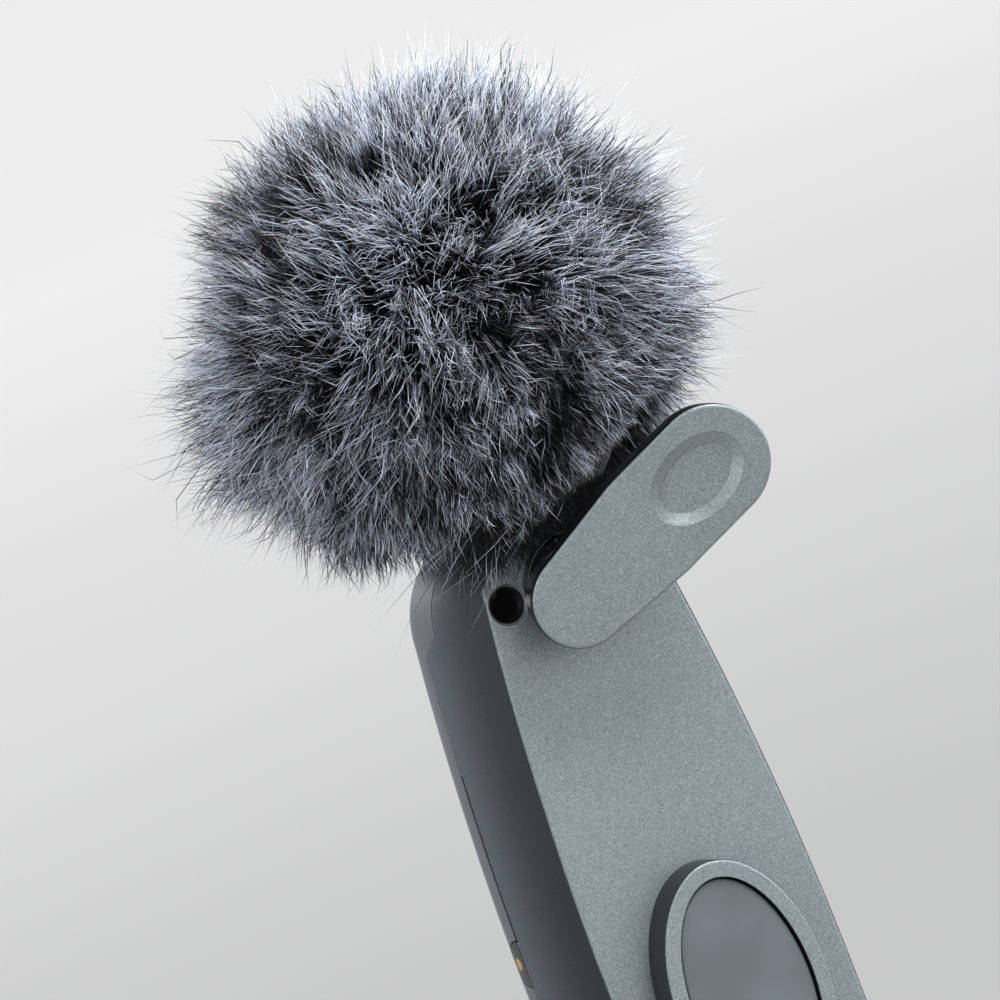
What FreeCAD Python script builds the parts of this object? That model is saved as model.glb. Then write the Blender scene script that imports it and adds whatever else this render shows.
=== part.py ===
import FreeCAD, Part
import math
import os
import re
import Sketcher
from FreeCAD import Placement, Rotation, Vector

# Clip-on wireless lavalier microphone with a furry windscreen, in millimetres.
# The origin is where the clip's turning axis meets the flat front face.
# +Z runs up the housing to the microphone head, the front face looks along -Y and +X is to its right.

doc = FreeCAD.newDocument("LavalierMicrophone")
sheet = doc.addObject("Spreadsheet::Sheet", "Sizes")

driving_sizes = [
    # housing outline, seen from the front
    ("half_width", 8.9, "half the face's width at its widest"),
    ("waist_drop", 31.0, "from the clip axis down to the widest place, which is the button's centre"),
    ("side_radius", 226.0, "bow of the long sides"),
    ("top_rise", 6.0, "from the clip axis up to the top of the face"),
    ("top_radius", 9.0, "bow of the top edge"),
    ("top_corner", 5.0, "corner radius at the top"),
    ("bottom_drop", 56.0, "from the clip axis down to the bottom of the face"),
    ("bottom_radius", 22.0, "bow of the bottom edge"),
    ("bottom_corner", 5.5, "corner radius at the bottom"),
    # housing depth
    ("body_depth", 13.6, "front face to back face"),
    ("seam_depth", 8.2, "front face to the seam between the covers"),
    ("seam_step", 2.2, "how much nearer the face the seam runs above the jog"),
    ("jog_low", 1.6, "lower end of the seam's jog, below the clip axis"),
    ("jog_rise", 1.4, "height of the jog"),
    ("side_flare", 2.1, "how far the sides swell out between the face and the seam"),
    ("top_swell", 0.3, "how far the top swells up between the face and the seam"),
    ("back_round", 4.6, "rounding of the back's edge"),
    ("face_edge", 0.2, "fillet round the face"),
    ("face_wall", 1.4, "wall behind the face"),
    ("side_wall", 1.2, "wall of the sides and the back"),
    ("seam_groove", 0.14, "width of the groove along the seam"),
    ("wide_groove", 0.4, "width of the groove's open stretch"),
    ("groove_depth", 0.6, "depth of the seam groove"),
    ("wide_top", 10.2, "upper end of the open stretch, below the clip axis"),
    ("wide_bottom", 22.6, "lower end of the open stretch, below the clip axis"),
    ("fit_gap", 0.1, "clearance between pieces that lie side by side"),
    # button and its ring
    ("ring_half_width", 6.0, "ring outside, half across"),
    ("ring_half_height", 9.7, "ring outside, half up"),
    ("ring_band", 1.2, "width of the ring's front face"),
    ("ring_proud", 2.9, "how far the ring stands out of the face"),
    ("ring_step", 0.6, "how much wider the ring is inside, behind its lip"),
    ("ring_step_depth", 1.0, "depth of the wider part"),
    ("button_gap", 0.15, "gap round the button"),
    ("button_recess", 0.25, "button front below the ring front"),
    ("button_travel", 0.45, "how far the button goes in"),
    ("stem_radius", 1.2, "button stem"),
    ("stem_hole", 1.6, "hole in the face for the stem"),
    ("edge_round", 0.2, "small fillets on the ring and the button"),
    # strap hole
    ("strap_left", 5.1, "strap hole to the left of the clip axis"),
    ("strap_up", 0.4, "strap hole above the clip axis"),
    ("strap_radius", 1.3, "radius of the hole"),
    ("strap_wall", 0.5, "wall of the tube that lines it"),
    ("strap_chamfer", 0.2, "chamfer at the front mouth"),
    # circuit board and what it carries
    ("board_front", 4.3, "front of the board behind the face"),
    ("board_thick", 0.8, "board"),
    ("board_inset", 1.9, "board's sides from the face's widest place"),
    ("board_half_width", "=half_width - board_inset", "half the board's width"),
    ("board_top", 3.4, "top of the board below the clip axis"),
    ("board_bottom", 52.0, "bottom of the board below the clip axis"),
    ("board_corner", 3.0, "corner radius of the board"),
    ("post_radius", 1.3, "posts that the board is screwed to"),
    ("post_inset", 3.7, "posts from the face's widest place"),
    ("post_aside", "=half_width - post_inset", "posts from the middle"),
    ("post_high", 9.0, "upper post below the clip axis"),
    ("post_low", 45.5, "lower post below the clip axis"),
    ("screw_radius", 0.6, "board screw shank"),
    ("screw_head", 1.1, "board screw head radius"),
    ("screw_head_thick", 0.72, "board screw head"),
    ("screw_depth", 2.2, "thread length in the post"),
    ("switch_side", 4.5, "tact switch, square"),
    ("switch_thick", 1.5, "tact switch body"),
    ("plunger_radius", 0.9, "switch plunger"),
    ("plunger_sunk", 0.6, "plunger inside the switch at rest"),
    ("plunger_hole", 0.95, "hole that the plunger runs in"),
    ("battery_inset", 2.7, "battery's sides from the face's widest place"),
    ("battery_half_width", "=half_width - battery_inset", "half the battery's width"),
    ("battery_top", 14.0, "battery top below the clip axis"),
    ("battery_bottom", 43.0, "battery bottom below the clip axis"),
    ("battery_thick", 4.4, "battery"),
    ("battery_gap", 0.9, "board to battery"),
    ("battery_round", 0.8, "fillet of the battery pouch"),
    ("foam_edge", 1.5, "battery's foam pad inside its edge"),
    ("antenna_long", 8.0, "chip antenna"),
    ("antenna_high", 1.6, "chip antenna"),
    ("antenna_thick", 1.0, "chip antenna"),
    ("antenna_inset", 1.0, "chip antenna below the board's top"),
    ("chip_side", 6.0, "large chip, square"),
    ("chip_thick", 1.0, "large chip"),
    ("chip_below_post", 3.5, "large chip below the upper screws"),
    ("small_chip_wide", 4.0, "small chip"),
    ("small_chip_tall", 3.0, "small chip"),
    ("small_chip_thick", 0.8, "small chip"),
    ("small_chip_up", 6.0, "small chip above the board's bottom"),
    ("magnet_wide", 1.5, "case magnet across"),
    ("magnet_deep", 2.0, "case magnet front to back"),
    ("magnet_tall", 6.0, "case magnet"),
    ("magnet_gap", 0.35, "case magnet to the side wall"),
    ("magnet_drop", 37.0, "case magnet centre below the clip axis"),
    # charging socket, standard size
    ("usb_wide", 8.94, "socket shell outside"),
    ("usb_high", 3.26, "socket shell outside"),
    ("usb_long", 7.2, "socket shell"),
    ("usb_wall", 0.3, "socket shell wall"),
    ("usb_tongue_wide", 6.69, "contact tongue"),
    ("usb_tongue_high", 0.7, "contact tongue"),
    ("tongue_inset", 1.0, "contact tongue inside the socket's mouth"),
    ("usb_sunk", 0.3, "socket mouth inside the bottom edge"),
    # charging contacts in the sides
    ("insert_top", 22.6, "top of the contact insert below the clip axis"),
    ("insert_half_height", 1.7, "half its height"),
    ("insert_deep", 2.3, "from the seam towards the back"),
    ("insert_line", 0.12, "groove round it"),
    ("contact_radius", 0.45, "gold contact"),
    ("contact_back", 1.0, "gold contact behind the seam"),
    # microphone head
    ("head_depth", 6.8, "microphone head's axis behind the face"),
    ("seat_rise", 5.6, "seat of the neck above the clip axis"),
    ("collar_radius", 5.0, "neck collar"),
    ("collar_tall", 1.4, "neck collar"),
    ("spigot_radius", 3.5, "neck spigot through the housing's top"),
    ("spigot_long", 3.6, "neck spigot"),
    ("neck_bore", 2.6, "bore of the neck"),
    ("grille_radius", 4.9, "grille outside"),
    ("grille_wall", 0.35, "grille"),
    ("grille_straight", 5.0, "straight part of the grille under its dome"),
    ("capsule_radius", 3.0, "microphone capsule"),
    ("capsule_tall", 2.6, "microphone capsule"),
    ("capsule_rise", 3.4, "capsule above the collar"),
    ("fine_round", 0.15, "fillets on the capsule and the turntable"),
    ("boot_tall", 1.6, "rubber ring round the capsule"),
    ("flex_half_width", 1.1, "flexible lead of the capsule"),
    ("flex_thick", 0.15, "flexible lead of the capsule"),
    # clip
    ("clip_angle", 24.7, "how far the lever is turned up from +X"),
    ("table_radius", 3.75, "turntable"),
    ("table_thick", 0.8, "turntable"),
    ("table_gap", 0.1, "turntable above the face"),
    ("pin_height", 2.7, "hinge pin in front of the face"),
    ("pin_radius", 0.5, "hinge pin"),
    ("pin_gap", 0.04, "radial clearance of the pin in the lever"),
    ("pin_head_rim", 0.2, "hinge pin's head wider than the pin"),
    ("pin_head_thick", 0.25, "hinge pin's head"),
    ("ear_inner", 1.55, "ears start this far from the middle"),
    ("ear_thick", 1.05, "each ear"),
    ("ear_round", 1.1, "ear round the pin"),
    ("foot_half", 1.5, "half the length of the foot under the ears"),
    ("foot_rise", 0.45, "foot above the turntable"),
    ("cheek_thick", 0.85, "each cheek of the lever"),
    ("cheek_round", 1.25, "cheek round the pin"),
    ("cheek_gap", 0.07, "each cheek to its ear"),
    ("lever_tilt", 14.0, "lever's slope away from the face at rest"),
    ("thumb_centre", 11.55, "pin to the centre of the thumb end"),
    ("thumb_radius", 4.15, "thumb end, and half the lever's width"),
    ("taper_start", 5.3, "where the lever starts to narrow"),
    ("jaw_centre", 1.4, "pin to the centre of the jaw end"),
    ("jaw_radius", 3.45, "jaw end"),
    ("plate_out", 2.3, "pin to the outside of the lever's metal plate"),
    ("plate_thick", 0.8, "metal plate"),
    ("bend_place", 6.3, "where the thumb end lifts"),
    ("thin_start", 6.3, "where the lever body starts to thin"),
    ("slab_spare", 1.0, "how far the lever's slabs run on past its outline"),
    ("bend_rise", 0.07, "slope of the thumb end against the rest"),
    ("bend_round", 12.0, "radius of the bend"),
    ("dish_centre", 10.1, "thumb dish from the pin"),
    ("dish_half_long", 3.8, "thumb dish"),
    ("dish_half_wide", 2.75, "thumb dish"),
    ("dish_slope", 0.9, "width of the dish's sloping rim"),
    ("dish_depth", 0.5, "thumb dish"),
    ("plate_edge", 0.22, "fillet round the plate"),
    ("lever_inset", 0.12, "lever body inside the plate's outline"),
    ("lever_low", 0.3, "underside of the lever body from the pin"),
    ("lever_tip_thick", 0.9, "lever body at the thumb tip"),
    ("pocket_half", 2.4, "half the length of the pocket over the ears"),
    ("pocket_roof", 1.2, "roof of the pocket from the pin"),
    ("pad_inner", 2.7, "jaw pad starts this far from the pin"),
    ("pad_back", 0.3, "jaw pad stops this far inside the jaw end"),
    ("pad_gap", 0.08, "jaw pad above the turntable when closed"),
    ("bush_radius", 2.0, "bush in the face"),
    ("bush_flange", 2.6, "bush flange behind the face"),
    ("bush_flange_thick", 0.5, "bush flange"),
    ("pivot_radius", 1.2, "pivot screw shank"),
    ("pivot_gap", 0.05, "radial clearance of the pivot in its bush"),
    ("pivot_thread", 0.55, "pivot screw in the turntable"),
    ("washer_thick", 0.3, "friction washer"),
    ("washer_radius", 2.3, "friction washer"),
    ("pivot_head", 2.2, "pivot screw head radius"),
    ("pivot_head_thick", 0.7, "pivot screw head"),
    ("slot_wide", 0.5, "pivot screw's slot"),
    ("spring_radius", 0.8, "torsion spring to its wire's middle"),
    ("wire_radius", 0.15, "spring wire"),
    ("spring_half", 1.1, "half the length of the coil"),
    ("spring_pitch", 0.44, "coil pitch"),
    ("leg_long", 2.1, "spring leg"),
    ("leg_turn", 75.0, "turn of the spring's leg about the pin"),
    # windscreen
    ("fur_radius", 17.0, "fur, where its strands stand dense"),
    ("fur_rise", 21.0, "centre of the fur above the clip axis"),
    ("foam_radius", 9.6, "foam liner"),
    ("foam_rise", 17.2, "centre of the foam liner"),
    ("foam_clear", 0.3, "foam clear of the grille"),
    ("sweep_radius", 16.5, "reach of the clip lever, with clearance"),
    ("sweep_front", 1.6, "how far the windscreen may stand in front of the face within that reach"),
    ("fur_aside", 1.0, "centre of the fur to the right of the clip axis"),
    ("sleeve_ease", 0.15, "cloth sleeve clear of the housing"),
    ("sleeve_thick", 0.5, "cloth sleeve"),
    ("hem_front", 5.0, "hem at the face, above the clip axis"),
    ("hem_back", 4.2, "hem at the back, above the clip axis"),
    ("band_tall", 0.5, "elastic band"),
    ("band_thick", 0.2, "elastic band"),
    ("band_up", 0.3, "elastic band above the hem"),
    ("beyond", 30.0, "cutting solids reach this far past what they cut"),
]

aliases = []
for row, (alias, value, note) in enumerate(driving_sizes, start=1):
    sheet.set("A%d" % row, alias)
    sheet.set("B%d" % row, str(value))
    sheet.set("C%d" % row, note)
    sheet.setAlias("B%d" % row, alias)
    aliases.append(alias)
doc.recompute()

word = re.compile(r"\b(" + "|".join(sorted(aliases, key=len, reverse=True)) + r")\b")
parts = {}


def sized(text):
    """An expression on the sheet's aliases, as FreeCAD reads it."""
    return word.sub(r"Sizes.\1", str(text))


def number(text):
    """The value that an expression has now."""
    return float(sheet.evalExpression(sized(text)))


def bind(item, **properties):
    """Tie properties of an object to expressions; two underscores stand for a dot."""
    for name, text in properties.items():
        item.setExpression(name.replace("__", "."), sized(text))
    return item


def place(item, x="0", y="0", z="0", turn=None):
    """Tie an object's Placement to expressions; turn is an expression of FreeCAD's rotation()."""
    spin = turn or "rotation(vector(0; 0; 1); 0)"
    return bind(item, Placement="placement(vector(%s; %s; %s); %s)" % (x, y, z, spin))


def keep(item, label):
    """Make an object a node of the part."""
    item.Label = label
    parts[label] = item
    return item


def box(x, y, z, wide, deep, tall):
    """A box from its low corner and its three sizes."""
    item = doc.addObject("Part::Box", "Block")
    bind(item, Length=wide, Width=deep, Height=tall)
    return place(item, x, y, z)


along_x = "rotation(vector(0; 1; 0); 90)"
along_y = "rotation(vector(1; 0; 0); -90)"
along_z = "rotation(vector(0; 0; 1); 0)"
upright_oval = "rotation(vector(1; 1; 1); -120)"


def rod(radius, length, x="0", y="0", z="0", turn=along_z):
    """A cylinder that starts at x, y, z."""
    item = doc.addObject("Part::Cylinder", "Rod")
    bind(item, Radius=radius, Height=length)
    return place(item, x, y, z, turn)


def cut(base, *tools):
    """Take the tools away from the base, one after another."""
    for tool in tools:
        item = doc.addObject("Part::Cut", "Cut")
        item.Base = base
        item.Tool = tool
        base = item
    return base


def fuse(*shapes):
    item = doc.addObject("Part::MultiFuse", "Fuse")
    item.Shapes = list(shapes)
    return item


def common(*shapes):
    item = doc.addObject("Part::MultiCommon", "Common")
    item.Shapes = list(shapes)
    return item


def soften(base, radius, chosen):
    """Round the edges of the base that chosen() accepts."""
    doc.recompute()
    item = doc.addObject("Part::Fillet", "Fillet")
    item.Base = base
    size = number(radius)
    edges = base.Shape.Edges
    item.Edges = [(n, size, size) for n, edge in enumerate(edges, start=1) if chosen(edge)]
    return item


tiny = 0.01


def lies_at(axis, value, slack=tiny):
    """A test for edges that lie all in one plane across an axis."""
    def test(edge):
        reach = edge.BoundBox
        low = getattr(reach, axis + "Min")
        high = getattr(reach, axis + "Max")
        return abs(low - value) < slack and abs(high - value) < slack
    return test


def runs_along(axis):
    """A test for straight edges along an axis."""
    def test(edge):
        direction = edge.Vertexes[-1].Point - edge.Vertexes[0].Point
        return direction.Length > tiny and abs(getattr(direction.normalize(), axis)) > 0.999
    return test


def extrude(base, direction, length, start="0"):
    """A solid from a closed flat outline."""
    item = doc.addObject("Part::Extrusion", "Extrusion")
    item.Base = base
    item.DirMode = "Custom"
    item.Dir = direction
    item.Solid = True
    bind(item, LengthFwd=length)
    if start != "0":
        bind(item, LengthRev="-(%s)" % start)
    return item


def sketch(turn, x="0", y="0", z="0"):
    item = doc.addObject("Sketcher::SketchObject", "Sketch")
    return place(item, x, y, z, turn)


def pin_point(item, index, end, across, up):
    """Hold a sketch point at two expressions."""
    for kind, text in (("DistanceX", across), ("DistanceY", up)):
        row = item.addConstraint(Sketcher.Constraint(kind, -1, 1, index, end, number(text)))
        item.setExpression("Constraints[%d]" % row, sized(text))


def hold_radius(item, index, text):
    row = item.addConstraint(Sketcher.Constraint("Radius", index, number(text)))
    item.setExpression("Constraints[%d]" % row, sized(text))


front_view = "rotation(vector(1; 0; 0); 90)"
side_view = "rotation(vector(1; 1; 1); 120)"
plan_view = along_z


def polygon(turn, points, x="0", y="0", z="0"):
    """A sketch of lines through points given as pairs of expressions.

    A third expression bends the line to the next point into an arc of that radius,
    which bulges to its right.
    """
    item = sketch(turn, x, y, z)
    corners = [Vector(number(point[0]), number(point[1]), 0) for point in points]
    count = len(corners)
    ends = []
    for n in range(count):
        start, stop = corners[n], corners[(n + 1) % count]
        if len(points[n]) == 2:
            item.addGeometry(Part.LineSegment(start, stop))
        else:
            radius = abs(number(points[n][2]))
            middle = (start + stop) / 2
            half = (stop - start) / 2
            left = Vector(-half.y, half.x, 0).normalize()
            side = 1 if number(points[n][2]) > 0 else -1
            centre = middle + left * side * math.sqrt(radius * radius - half.Length * half.Length)
            first, last = (start, stop) if side > 0 else (stop, start)
            item.addGeometry(arc(centre, radius, first, last))
        ends.append((2, 1) if len(points[n]) > 2 and number(points[n][2]) < 0 else (1, 2))
    for n in range(count):
        following = (n + 1) % count
        item.addConstraint(Sketcher.Constraint("Coincident", n, ends[n][1], following, ends[following][0]))
    for n, point in enumerate(points):
        pin_point(item, n, ends[n][0], point[0], point[1])
        if len(point) > 2:
            hold_radius(item, n, "abs(%s)" % point[2])
    return item


def arc(centre, radius, start, end):
    """A counter-clockwise arc between two directions, given as points."""
    first = math.atan2(start.y - centre.y, start.x - centre.x)
    last = math.atan2(end.y - centre.y, end.x - centre.x)
    circle = Part.Circle(centre, Vector(0, 0, 1), radius)
    return Part.ArcOfCircle(circle, first, last)


def corner_between(first, first_radius, second, second_radius, corner, near):
    """Centre of a corner arc that touches two larger arcs from inside."""
    a = first_radius - corner
    b = second_radius - corner
    line = second - first
    span = line.Length
    along = (a * a - b * b + span * span) / (2 * span)
    aside = math.sqrt(max(a * a - along * along, 0))
    middle = first + line * (along / span)
    step = Vector(-line.y, line.x, 0) * (aside / span)
    return min((middle + step, middle - step), key=lambda point: (point - near).Length)


def outline(depth, grow, sink):
    """The housing's outline at a depth, all round larger than the face by grow, its top lower by sink."""
    item = sketch(front_view, y=depth)
    more = number(grow)
    half, drop = number("half_width"), number("waist_drop")
    side = number("side_radius")
    rise, low = number("top_rise"), number("bottom_drop")
    top, bottom = number("top_radius"), number("bottom_radius")
    high_corner, low_corner = number("top_corner"), number("bottom_corner")
    right = Vector(half - side, -drop, 0)
    left = Vector(side - half, -drop, 0)
    above = Vector(0, rise - top - number(sink), 0)
    below = Vector(0, bottom - low, 0)
    arcs = [
        (right, side, None), (None, high_corner, Vector(half, rise, 0)),
        (above, top, None), (None, high_corner, Vector(-half, rise, 0)),
        (left, side, None), (None, low_corner, Vector(-half, -low, 0)),
        (below, bottom, None), (None, low_corner, Vector(half, -low, 0)),
    ]
    count = len(arcs)
    for n, (centre, radius, near) in enumerate(arcs):
        if centre is None:
            before, after = arcs[n - 1], arcs[(n + 1) % count]
            middle = corner_between(before[0], before[1], after[0], after[1], radius, near)
            arcs[n] = (middle, radius, near)
    touch = []
    for n in range(count):
        centre, radius, near = arcs[n]
        after, after_radius, unused = arcs[(n + 1) % count]
        small, large = (centre, after) if radius < after_radius else (after, centre)
        ray = (small - large).normalize()
        touch.append(small + ray * (min(radius, after_radius) + more))
    for n, (centre, radius, near) in enumerate(arcs):
        item.addGeometry(arc(centre, radius + more, touch[n - 1], touch[n]))
    for n in range(count):
        item.addConstraint(Sketcher.Constraint("Tangent", n, 2, (n + 1) % count, 1))
    pin_point(item, 0, 3, "half_width - side_radius", "-waist_drop")
    pin_point(item, 2, 3, "0", "top_rise - top_radius - (%s)" % sink)
    pin_point(item, 4, 3, "side_radius - half_width", "-waist_drop")
    pin_point(item, 6, 3, "0", "bottom_radius - bottom_drop")
    names = ["side_radius", "top_corner", "top_radius", "top_corner",
             "side_radius", "bottom_corner", "bottom_radius", "bottom_corner"]
    for n, name in enumerate(names):
        hold_radius(item, n, "%s + (%s)" % (name, grow))
    return item


def loft(sections, ruled=False):
    item = doc.addObject("Part::Loft", "Loft")
    item.Sections = sections
    item.Solid = True
    item.Ruled = ruled
    return item


def flare_at(share):
    """Swell of the sides at a share of the seam's depth: an arc that stands upright at the seam."""
    bow = "(seam_depth * seam_depth + side_flare * side_flare) / (2 * side_flare)"
    left = "(seam_depth * (1 - %s))" % share
    return "side_flare - %s + sqrt((%s)^2 - %s^2)" % (bow, bow, left)


section_shares = ("0", "0.33", "0.66", "1")


def housing_form(shrink, front):
    """The housing as one solid, smaller than the outside by shrink, from front to near the back."""
    sink = "(%s) * (1 - top_swell / side_flare)"
    sections = []
    for share in section_shares:
        swell = flare_at(share)
        depth = "%s + (seam_depth - %s) * %s" % (front, front, share)
        sections.append(outline(depth, "%s - %s" % (swell, shrink), sink % swell))
    front_half = loft(sections)
    rim = "side_flare - %s" % shrink
    back = "body_depth - %s" % shrink
    rear = [outline(depth, rim, sink % "side_flare") for depth in ("seam_depth", back)]
    back_half = soften(loft(rear, ruled=True), "back_round - %s" % shrink, lies_at("Y", number(back)))
    return fuse(front_half, back_half)


def oval(half_tall, half_wide, depth, length, up, across="0"):
    """An upright oval slab from a depth towards the back."""
    ring = doc.addObject("Part::Ellipse", "Oval")
    bind(ring, MajorRadius=half_tall, MinorRadius=half_wide)
    place(ring, across, depth, up, upright_oval)
    return extrude(ring, Vector(0, 1, 0), length)


def mirrored(item):
    other = doc.addObject("Part::Mirroring", "Mirror")
    other.Source = item
    other.Normal = Vector(1, 0, 0)
    return other


# ---- housing ----

outside = housing_form("0", "0")
inside = housing_form("side_wall", "face_wall")
outside = soften(outside, "face_edge", lies_at("Y", 0))
groove_floor = housing_form("groove_depth", "0")

low_z = "-(bottom_drop + beyond)"
high_z = "top_rise + beyond"
jog_top = "-jog_low + jog_rise"
upper_seam = "seam_depth - seam_step"


def seam_slab(front, shift):
    """Everything between a depth in front of the face and the stepped seam, moved forward by shift."""
    points = [(front, low_z), ("seam_depth - %s" % shift, low_z), ("seam_depth - %s" % shift, "-jog_low"),
              ("%s - %s" % (upper_seam, shift), jog_top), ("%s - %s" % (upper_seam, shift), high_z),
              (front, high_z)]
    return extrude(polygon(side_view, points, x="-beyond"), Vector(1, 0, 0), "2 * beyond")


front_side = seam_slab("-beyond", "0")
groove_side = cut(front_side, seam_slab("-2 * beyond", "seam_groove"))
wide_side = box("-beyond", "seam_depth - wide_groove", "-wide_bottom", "2 * beyond", "wide_groove",
                "wide_bottom - wide_top")
groove = cut(fuse(groove_side, wide_side), groove_floor)

strap_x = "-strap_left"
strap_sleeve = "strap_radius + strap_wall"
strap_span = "body_depth - face_wall - side_wall"
strap_bore = rod("strap_radius", "2 * beyond", strap_x, "-beyond", "strap_up", along_y)
strap_room = rod(strap_sleeve, strap_span, strap_x, "face_wall", "strap_up", along_y)
strap_mouth = doc.addObject("Part::Cone", "Mouth")
bind(strap_mouth, Radius1="strap_radius + strap_chamfer", Radius2="strap_radius", Height="strap_chamfer")
place(strap_mouth, strap_x, "0", "strap_up", along_y)

seat = rod("collar_radius + fit_gap", "beyond", "0", "head_depth", "seat_rise")
neck_hole = rod("spigot_radius", "beyond", "0", "head_depth", "seat_rise - spigot_long")


sliver = "0.001"


def usb_slab(wide, high, bottom, long):
    """A block with ends rounded all but a sliver of the way, standing on the socket's axis."""
    block = box("-(%s) / 2" % wide, "head_depth - (%s) / 2" % high, bottom, wide, high, long)
    return soften(block, "(%s) / 2 - %s" % (high, sliver), runs_along("z"))


usb_mouth = "-bottom_drop - side_flare + usb_sunk"
usb_hole = usb_slab("usb_wide + 2 * fit_gap", "usb_high + 2 * fit_gap", "-(bottom_drop + beyond)",
                    "beyond + usb_long")

insert_middle = "-insert_top - insert_half_height"


def insert_form(grow):
    """A D-shaped prism through the right-hand side: flat along the seam, round towards the back."""
    curve = doc.addObject("Part::Ellipse", "Oval")
    tall = "max(insert_half_height; insert_deep) + %s" % grow
    bind(curve, MajorRadius=tall, MinorRadius="insert_half_height + %s" % grow)
    place(curve, "half_width - side_wall", "seam_depth", insert_middle, "rotation(vector(1; 1; 1); 120)")
    return extrude(curve, Vector(1, 0, 0), "beyond")


doc.recompute()
behind_seam = box("-beyond", "seam_depth", low_z, "2 * beyond", "2 * beyond", "2 * (bottom_drop + beyond)")
insert_plug = common(outside, behind_seam, insert_form("0"))
insert_line = cut(common(behind_seam, insert_form("insert_line")), groove_floor)
contact_hole = rod("contact_radius", "beyond", "half_width - side_wall", "seam_depth + contact_back",
                   insert_middle, along_x)
contact_insert = keep(cut(insert_plug, contact_hole), "contact_insert_right")
keep(mirrored(contact_insert), "contact_insert_left")
contact_pin = common(contact_hole, outside)
keep(fuse(contact_pin, mirrored(contact_pin)), "charging_contacts")

side_openings = fuse(insert_form("0"), insert_line)
both_openings = fuse(side_openings, mirrored(side_openings))

bush_hole = rod("bush_radius", "2 * beyond", "0", "-beyond", "0", along_y)
stem_opening = rod("stem_hole", "2 * face_wall", "0", "-face_wall / 2", "-waist_drop", along_y)
post_places = [("post_aside", "-post_high"), ("-post_aside", "-post_high"),
               ("post_aside", "-post_low"), ("-post_aside", "-post_low")]
posts = []
threads = []
for x, z in post_places:
    posts.append(rod("post_radius", "board_front - face_wall / 2", x, "face_wall / 2", z, along_y))
    threads.append(rod("screw_radius", "beyond", x, "board_front - screw_depth", z, along_y))

front_shell = cut(common(outside, front_side), inside, groove)
front_cover = cut(fuse(front_shell, *posts), strap_room, strap_bore, strap_mouth, seat, neck_hole, usb_hole,
                  bush_hole, stem_opening, *threads)
keep(front_cover, "front_cover")

back_shell = cut(outside, front_side, inside)
back_cover = cut(back_shell, strap_room, strap_bore, seat, neck_hole, usb_hole, both_openings)
keep(back_cover, "back_cover")

keep(cut(strap_room, strap_bore), "strap_tube")

# ---- button, its ring and switch ----

ring_outer = oval("ring_half_height", "ring_half_width", "-ring_proud", "ring_proud", "-waist_drop")
ring_outer = soften(ring_outer, "edge_round", lies_at("Y", -number("ring_proud")))
ring_inner = oval("ring_half_height - ring_band", "ring_half_width - ring_band", "-ring_proud",
                  "ring_proud", "-waist_drop")
ring_wide = oval("ring_half_height - ring_band + ring_step", "ring_half_width - ring_band + ring_step",
                 "-ring_step_depth", "ring_step_depth", "-waist_drop")
keep(cut(ring_outer, ring_inner, ring_wide), "button_ring")

button_front = "-ring_proud + button_recess"
flange_back = "-button_travel - fit_gap / 2"
button_disc = oval("ring_half_height - ring_band - button_gap", "ring_half_width - ring_band - button_gap",
                   button_front, "(%s) - (%s)" % (flange_back, button_front), "-waist_drop")
button_disc = soften(button_disc, "edge_round", lies_at("Y", number(button_front)))
button_flange = oval("ring_half_height - ring_band + ring_step - button_gap",
                     "ring_half_width - ring_band + ring_step - button_gap",
                     "-ring_step_depth + fit_gap",
                     "(%s) + ring_step_depth - fit_gap" % flange_back, "-waist_drop")
plunger_front = "board_front - switch_thick - button_travel - fit_gap"
stem = rod("stem_radius", "%s - (%s)" % (plunger_front, flange_back), "0", flange_back, "-waist_drop",
           along_y)
keep(fuse(button_disc, button_flange, stem), "power_button")
plunger = rod("plunger_radius", "button_travel + fit_gap + plunger_sunk", "0", plunger_front, "-waist_drop",
              along_y)
keep(plunger, "switch_plunger")
switch_body = box("-switch_side / 2", "board_front - switch_thick", "-waist_drop - switch_side / 2",
                  "switch_side", "switch_thick", "switch_side")
switch_well = rod("plunger_hole", "plunger_sunk + button_travel + fit_gap", "0",
                  "board_front - switch_thick", "-waist_drop", along_y)
keep(cut(switch_body, switch_well), "button_switch")

# ---- circuit board and what it carries ----

board = box("-board_half_width", "board_front", "-board_bottom", "2 * board_half_width", "board_thick",
            "board_bottom - board_top")
board = soften(board, "board_corner", runs_along("y"))
keep(cut(board, *threads), "circuit_board")
board_back = "board_front + board_thick"

screws = []
for x, z in post_places:
    shank = rod("screw_radius", "screw_depth + board_thick", x, "board_front - screw_depth", z, along_y)
    head = rod("screw_head", "screw_head_thick", x, board_back, z, along_y)
    screws.append(fuse(shank, head))
keep(fuse(*screws), "board_screws")

chip_large = box("-chip_side / 2", "board_front - chip_thick", "-post_high - chip_below_post - chip_side",
                 "chip_side", "chip_thick", "chip_side")
chip_small = box("-small_chip_wide / 2", "board_front - small_chip_thick", "-board_bottom + small_chip_up",
                 "small_chip_wide", "small_chip_thick", "small_chip_tall")
keep(fuse(chip_large, chip_small), "board_chips")
antenna = box("-antenna_long / 2", "board_front - antenna_thick",
              "-board_top - antenna_inset - antenna_high", "antenna_long", "antenna_thick",
              "antenna_high")
keep(antenna, "antenna")

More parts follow.
